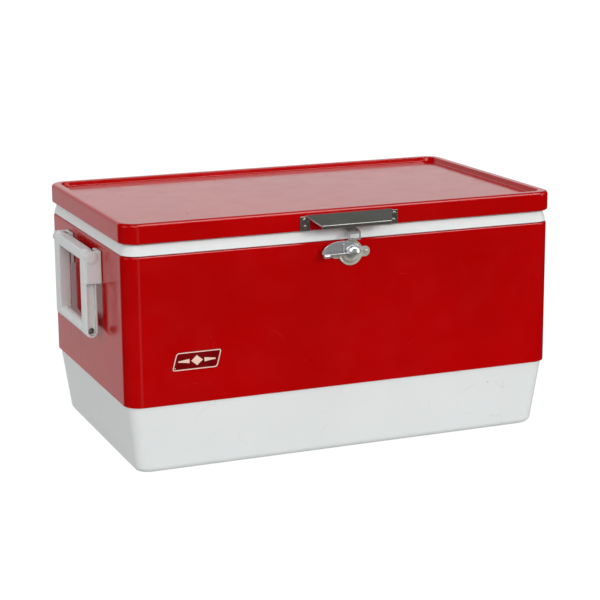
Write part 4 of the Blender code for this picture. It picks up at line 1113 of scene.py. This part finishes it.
# %% [markdown]
# ## Swing handles
# Each handle is one moulded loop: two flat arms with a channel in their outer faces, a round grip below and a
# square bar above, which runs between the two pivots. The grip is hollow, so a round hole shows at the foot of
# each channel. Blocks on the belt hold the pivots, and a domed pin head closes each block.

# %% Handle loop
def stadium(length, radius, thickness, edge=0.0, segments=32):
    """A bar with round ends along Y, from (0, 0) to (0, length): a circle with its halves pulled apart."""
    bm = bmesh.new()
    bmesh.ops.create_circle(bm, cap_ends=True, radius=radius, segments=segments)
    half_step = Matrix.Rotation(math.radians(180.0 / segments), 3, "Z")
    bmesh.ops.rotate(bm, verts=bm.verts, cent=(0, 0, 0), matrix=half_step)
    bmesh.ops.translate(bm, verts=[v for v in bm.verts if v.co.y > 0], vec=(0, length, 0))
    pulled(bm, (0, 0, thickness))
    return soften(bm, edge, 3) if edge else bm


ARM_RADIUS = 8.0 * MM
ARM_OUTER = 71.7 * MM
ARM_INNER = 50.7 * MM
GRIP_Z = 161.5 * MM
CHANNEL_TOP = 236.0 * MM


def side_on(x, y, z, side):
    """A flat part's +Y becomes up, and its +Z points along -Y (side -1) or +Y (side 1)."""
    stand = Matrix.Rotation(math.radians(90.0), 4, "X")
    turn = Matrix.Rotation(math.radians(180.0), 4, "Z") if side > 0 else Matrix.Identity(4)
    return Matrix.Translation((x, y, z)) @ turn @ stand


def corner_web(x, side, level, up):
    """Concave fillet that joins an arm to the bar at one inner corner of the loop."""
    reach, into = 8.0 * MM, 2.5 * MM
    corner_y = side * ARM_INNER
    turns = [math.radians(15.0 * step) for step in range(7)]
    hollow = [(corner_y - side * reach * (1 - math.sin(turn)), level + up * reach * (1 - math.cos(turn)))
              for turn in turns]
    root = [(corner_y + side * into, level + up * reach), (corner_y + side * into, level - up * into),
            (corner_y - side * reach, level - up * into)]
    return bent_strip(hollow + root, x - 5.2 * MM, x + 5.2 * MM, 0.0)


def carry_handle(x, pivot_z):
    length = pivot_z - GRIP_Z
    width = ARM_OUTER - ARM_INNER
    grip = placed(turned(rod_profile(7.6 * MM, -ARM_OUTER + 3 * MM, ARM_OUTER - 3 * MM), 32),
                  Matrix.Translation((x, 0, GRIP_Z)) @ Matrix.Rotation(math.radians(90), 4, "X"))
    half, into = 6.9 * MM, 4.0 * MM
    reach = ARM_INNER + into
    top = bar((x - half, -reach, pivot_z - half), (x + half, reach, pivot_z + half), 2.0 * MM, 4)
    loop = carved(grip, top, "UNION")
    for side in (-1, 1):
        arm = placed(stadium(length, ARM_RADIUS, width, 2.4 * MM), side_on(x, side * ARM_INNER, GRIP_Z, side))
        loop = carved(loop, arm, "UNION")
        for level, up in ((GRIP_Z + 5.6 * MM, 1), (pivot_z - 5.6 * MM, -1)):
            loop = carved(loop, corner_web(x, side, level, up), "UNION")
    for side in (-1, 1):
        channel = (CHANNEL_TOP - GRIP_Z, 5.2 * MM, 7.0 * MM, 5.0 * MM, GRIP_Z)
        core = (0.0, 4.0 * MM, 20.0 * MM, 17.0 * MM, GRIP_Z)
        bore = (0.0, 3.9 * MM, 24.0 * MM, 20.2 * MM, pivot_z)
        for slot_length, radius, thickness, depth, level in (channel, core, bore):
            cutter = stadium(slot_length, radius, thickness)
            loop = carved(loop, placed(cutter, side_on(x, side * (ARM_OUTER - depth), level, side)))
    bmesh.ops.remove_doubles(loop, verts=loop.verts, dist=0.01 * MM)
    return soften(loop, 0.7 * MM, 3, 35.0)


for end_name in ("left", "right"):
    pivot = Vector(joints[f"{end_name}_handle_swing"]["pos_m"])
    finish_piece(f"{end_name}_swing_handle", carry_handle(pivot.x, pivot.z), f"{end_name}_carry_handle",
                 "handle_plastic", [f"{end_name}_carry_handle"], HANDLE_PLASTIC)

# %% Pivot blocks and pins
ARM_CENTRE = abs(joints["right_handle_swing"]["pos_m"][0])


def pivot_block(node, end, side):
    low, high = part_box(node)
    flange_inner = ARM_OUTER + GAP
    leg_x = ARM_CENTRE - ARM_RADIUS - 0.4 * MM
    near, far = sorted((end * BELT_SIDE + end * GAP, end * abs(high.x if end > 0 else low.x)))
    face_low, face_high = sorted((side * flange_inner, side * max(abs(low.y), abs(high.y))))
    block = bar((near, face_low, low.z), (far, face_high, high.z), 1.2 * MM, 4)
    near, far = sorted((end * (BELT_SIDE + GAP), end * leg_x))
    leg_low, leg_high = sorted((side * 52.0 * MM, side * (max(abs(low.y), abs(high.y)) - 1.2 * MM)))
    leg = bar((near, leg_low, low.z + 0.5 * MM), (far, leg_high, high.z - 0.5 * MM), 0.8 * MM)
    return joined(block, leg)


def pivot_pin(node, side):
    low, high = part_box(node)
    head, shank = 7.5 * MM, 3.4 * MM
    tip = (high.y - low.y) - 2.5 * MM
    profile = [(0, -tip), (shank, -tip), (shank, 0)]
    profile += [(head - 0.3 * MM, 0), (head, 0.3 * MM), (head, 0.9 * MM)]
    profile += arc(head - 1.0 * MM, 0.9 * MM, 1.0 * MM, 15, 70, 4) + [(0.6 * head, 2.25 * MM), (0, 2.5 * MM)]
    outer = high.y if side > 0 else low.y
    place = Vector(((low.x + high.x) / 2, outer - side * 2.5 * MM, (low.z + high.z) / 2))
    return placed(turned(profile), along(place, (0, side, 0)))


for end, end_name in ((-1, "left"), (1, "right")):
    for side, side_name in ((-1, "front"), (1, "rear")):
        corner = f"{end_name}_{side_name}"
        block = pivot_block(f"{corner}_bracket", end, side)
        finish_piece(f"{corner}_pivot_block", block, "chest", "handle_plastic", [f"{corner}_bracket"],
                     HANDLE_PLASTIC)
        finish_piece(f"{corner}_pivot_pin", pivot_pin(f"{corner}_pivot", side), "chest", "handle_plastic",
                     [f"{corner}_pivot"], HANDLE_PLASTIC)

# %% [markdown]
# ## Badge
# A thin pressed plate leans like fast lettering. A raised cream line runs round its edge. The ornament in
# the middle is a lozenge between two tapering bars, a pattern that any sign painter uses, and says nothing.

# %% Badge
def badge_plate():
    low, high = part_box("front_badge")
    middle_x, middle_z = (low.x + high.x) / 2, (low.z + high.z) / 2
    half_length, half_height, slant = 28.85 * MM, 11.3 * MM, 3.0 * MM
    corners = [(-half_length - slant, -half_height), (half_length - slant, -half_height),
               (half_length + slant, half_height), (-half_length + slant, half_height)]
    ground = plate(corners, 0.8 * MM, corner_radius=3.4 * MM, edge=0.25 * MM, corner_segments=8)
    ground = placed(ground, on_front(middle_x, middle_z, GAP))
    line = bmesh.new()
    outline = [line.verts.new((x * 0.987, y * 0.968, 0.0)) for x, y in corners]
    line.faces.new(outline)
    bmesh.ops.bevel(line, geom=outline, offset=3.2 * MM, segments=8, profile=0.5, affect="VERTICES",
                    material=-1)
    field = list(line.faces)
    bmesh.ops.inset_region(line, faces=field, thickness=1.25 * MM, depth=0.0, use_even_offset=True,
                           use_boundary=True)
    bmesh.ops.delete(line, geom=field, context="FACES")
    pulled(line, (0, 0, 0.3 * MM))
    parts = [placed(line, on_front(middle_x, middle_z, GAP + 0.7 * MM))]
    lozenge = [(0, -6.2 * MM), (7.4 * MM, 0), (0, 6.2 * MM), (-7.4 * MM, 0)]
    shapes = [plate(lozenge, 0.3 * MM, edge=0.1 * MM)]
    for side in (-1, 1):
        wedge = [(side * 9.4 * MM, -2.6 * MM), (side * 23.5 * MM, -0.7 * MM), (side * 23.5 * MM, 0.7 * MM),
                 (side * 9.4 * MM, 2.6 * MM)]
        shapes.append(plate(wedge, 0.3 * MM, edge=0.1 * MM))
    shapes.append(placed(turned(rod_profile(0.7 * MM, 0.0, 0.4 * MM, 0.15 * MM), 16),
                         Matrix.Translation((-half_length + 1.2 * MM, -half_height + 3.6 * MM, 0))))
    parts += [placed(shape, on_front(middle_x, middle_z, GAP + 0.75 * MM)) for shape in shapes]
    return ground, joined(*parts)


ground, ornament = badge_plate()
finish_piece("badge_plate", ground, "chest", "badge_paint", ["front_badge"], BADGE_RED)
finish_piece("badge_ornament", ornament, "chest", "badge_paint", [], BADGE_CREAM)

# %% [markdown]
# ## Rear hinges
# Two butt hinges of pressed steel join lid and belt behind. The leaves are flat stock with knuckles that
# interleave on one pin. The lower leaf has a small step, because the belt lies a little further in than the lid.

# %% Hinges
HINGE = Vector(joints["lid_hinge"]["pos_m"])
BARREL_RADIUS = 3.4 * MM
KNUCKLES = 5


def hinge_leaves(middle, half):
    """Both leaves of one hinge, each with its knuckles."""
    lid_back, belt_back = HALF_DEPTH + GAP, BELT_REAR + GAP
    reach = BARREL_RADIUS + 0.5 * MM
    low, high = middle - half, middle + half
    jog_foot, jog_top = 266.0 * MM, 270.0 * MM
    upper = [bar((low, lid_back, HINGE.z + reach), (high, lid_back + LEAF, 303.0 * MM), 0.5 * MM)]
    section = [(belt_back, 246.0 * MM), (belt_back + LEAF, 246.0 * MM), (belt_back + LEAF, jog_foot)]
    section += [(lid_back + LEAF, jog_top), (lid_back + LEAF, HINGE.z - reach), (lid_back, HINGE.z - reach)]
    section += [(lid_back, jog_top + 0.8 * MM), (belt_back, jog_foot + 0.8 * MM)]
    lower = [bent_strip(section, low, high, 0.4 * MM)]
    pitch = 2 * half / KNUCKLES
    for index in range(KNUCKLES):
        start = low + index * pitch + (0.2 * MM if index else 0.0)
        length = low + (index + 1) * pitch - (0.2 * MM if index < KNUCKLES - 1 else 0.0) - start
        owner, toward = (lower, -1) if index % 2 == 0 else (upper, 1)
        ring = [(1.8 * MM, 0)] + arc(BARREL_RADIUS - 0.3 * MM, 0.3 * MM, 0.3 * MM, -90, 0, 3)
        ring += arc(BARREL_RADIUS - 0.3 * MM, length - 0.3 * MM, 0.3 * MM, 0, 90, 3)
        ring += [(1.8 * MM, length), (1.8 * MM, 0)]
        owner.append(placed(turned(ring, 32), along((start, HINGE.y, HINGE.z), (1, 0, 0))))
        root = HINGE.z + toward * (reach + 0.8 * MM)
        near, far = sorted((HINGE.z + toward * 2.4 * MM, root))
        inner, outer = lid_back + 0.02 * MM, lid_back + LEAF - 0.02 * MM
        owner.append(bar((start, inner, near), (start + length, outer, far)))
    return joined(*upper), joined(*lower)


for side_name in ("left", "right"):
    leaf_low, leaf_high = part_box(f"{side_name}_hinge_lid_leaf")
    middle, half = (leaf_low.x + leaf_high.x) / 2, (leaf_high.x - leaf_low.x) / 2
    upper, lower = hinge_leaves(middle, half)
    finish_piece(f"{side_name}_lid_leaf", upper, "lid", "polished_steel", [f"{side_name}_hinge_lid_leaf"],
                 PRESSED_STEEL)
    finish_piece(f"{side_name}_belt_leaf", lower, "chest", "polished_steel", [f"{side_name}_hinge_body_leaf"],
                 PRESSED_STEEL)
    pin = turned(rod_profile(1.5 * MM, 0.0, 2 * half - 1.0 * MM), 24)
    pin = placed(pin, along((middle - half + 0.5 * MM, HINGE.y, HINGE.z), (1, 0, 0)))
    finish_piece(f"{side_name}_pin", pin, "chest", "zinc_steel", [f"{side_name}_hinge_pin"], ZINC)

# %% [markdown]
# ## Drain
# A flanged spout lets meltwater out at the right-hand end, low in the base. Its cap is a cup with ribs round it
# for the fingers, and it screws off.

# %% Drain
def drain_spout():
    flange, front, mouth = 15.0 * MM, 3.0 * MM, 16.0 * MM
    inner = -16.5 * MM
    wall = [(SPOUT_BORE, inner), (SPOUT_RADIUS, inner), (SPOUT_RADIUS, GAP)]
    wall += [(flange - 0.3 * MM, GAP), (flange, 0.6 * MM)]
    wall += arc(flange - 0.9 * MM, front - 0.9 * MM, 0.9 * MM, 0, 90, 4)
    wall += [(SPOUT_RADIUS + 0.5 * MM, front), (SPOUT_RADIUS, front + 0.5 * MM)]
    wall += [(SPOUT_RADIUS, mouth - 0.4 * MM)]
    wall += [(SPOUT_RADIUS - 0.4 * MM, mouth), (SPOUT_BORE + 0.4 * MM, mouth), (SPOUT_BORE, mouth - 0.4 * MM)]
    return turned(wall + wall[:1], 48)


def drain_cap():
    foot, top, outside = 3.4 * MM, 19.0 * MM, 12.7 * MM
    inside = SPOUT_RADIUS + 0.4 * MM
    ceiling, corner = 16.4 * MM, 1.5 * MM
    cup = [(0, ceiling), (inside, ceiling), (inside, foot)]
    cup += [(outside - 0.3 * MM, foot), (outside, foot + 0.3 * MM)]
    cup += arc(outside - corner, top - corner, corner, 0, 90, 6)
    cup += [(0.5 * outside, top), (0.46 * outside, top - 0.4 * MM)]
    parts = [turned(cup + [(0, top - 0.4 * MM)], 72)]
    ribs = 24
    for rib in range(ribs):
        low = (outside - 0.6 * MM, -0.6 * MM, foot + 0.8 * MM)
        high = (outside + 0.5 * MM, 0.6 * MM, top - 1.8 * MM)
        ridge = bar(low, high, 0.3 * MM, 2)
        parts.append(placed(ridge, Matrix.Rotation(math.radians(360.0 * rib / ribs), 4, "Z")))
    return joined(*parts)


stance = along(DRAIN_PLACE, DRAIN_AXIS)
spout, cap = placed(drain_spout(), stance), placed(drain_cap(), stance)
finish_piece("drain_spout", spout, "chest", "white_plastic", ["drain_fitting"], WHITE_PLASTIC)
finish_piece("screw_cap", cap, "drain_cap", "white_plastic", ["drain_cap"], HANDLE_PLASTIC)
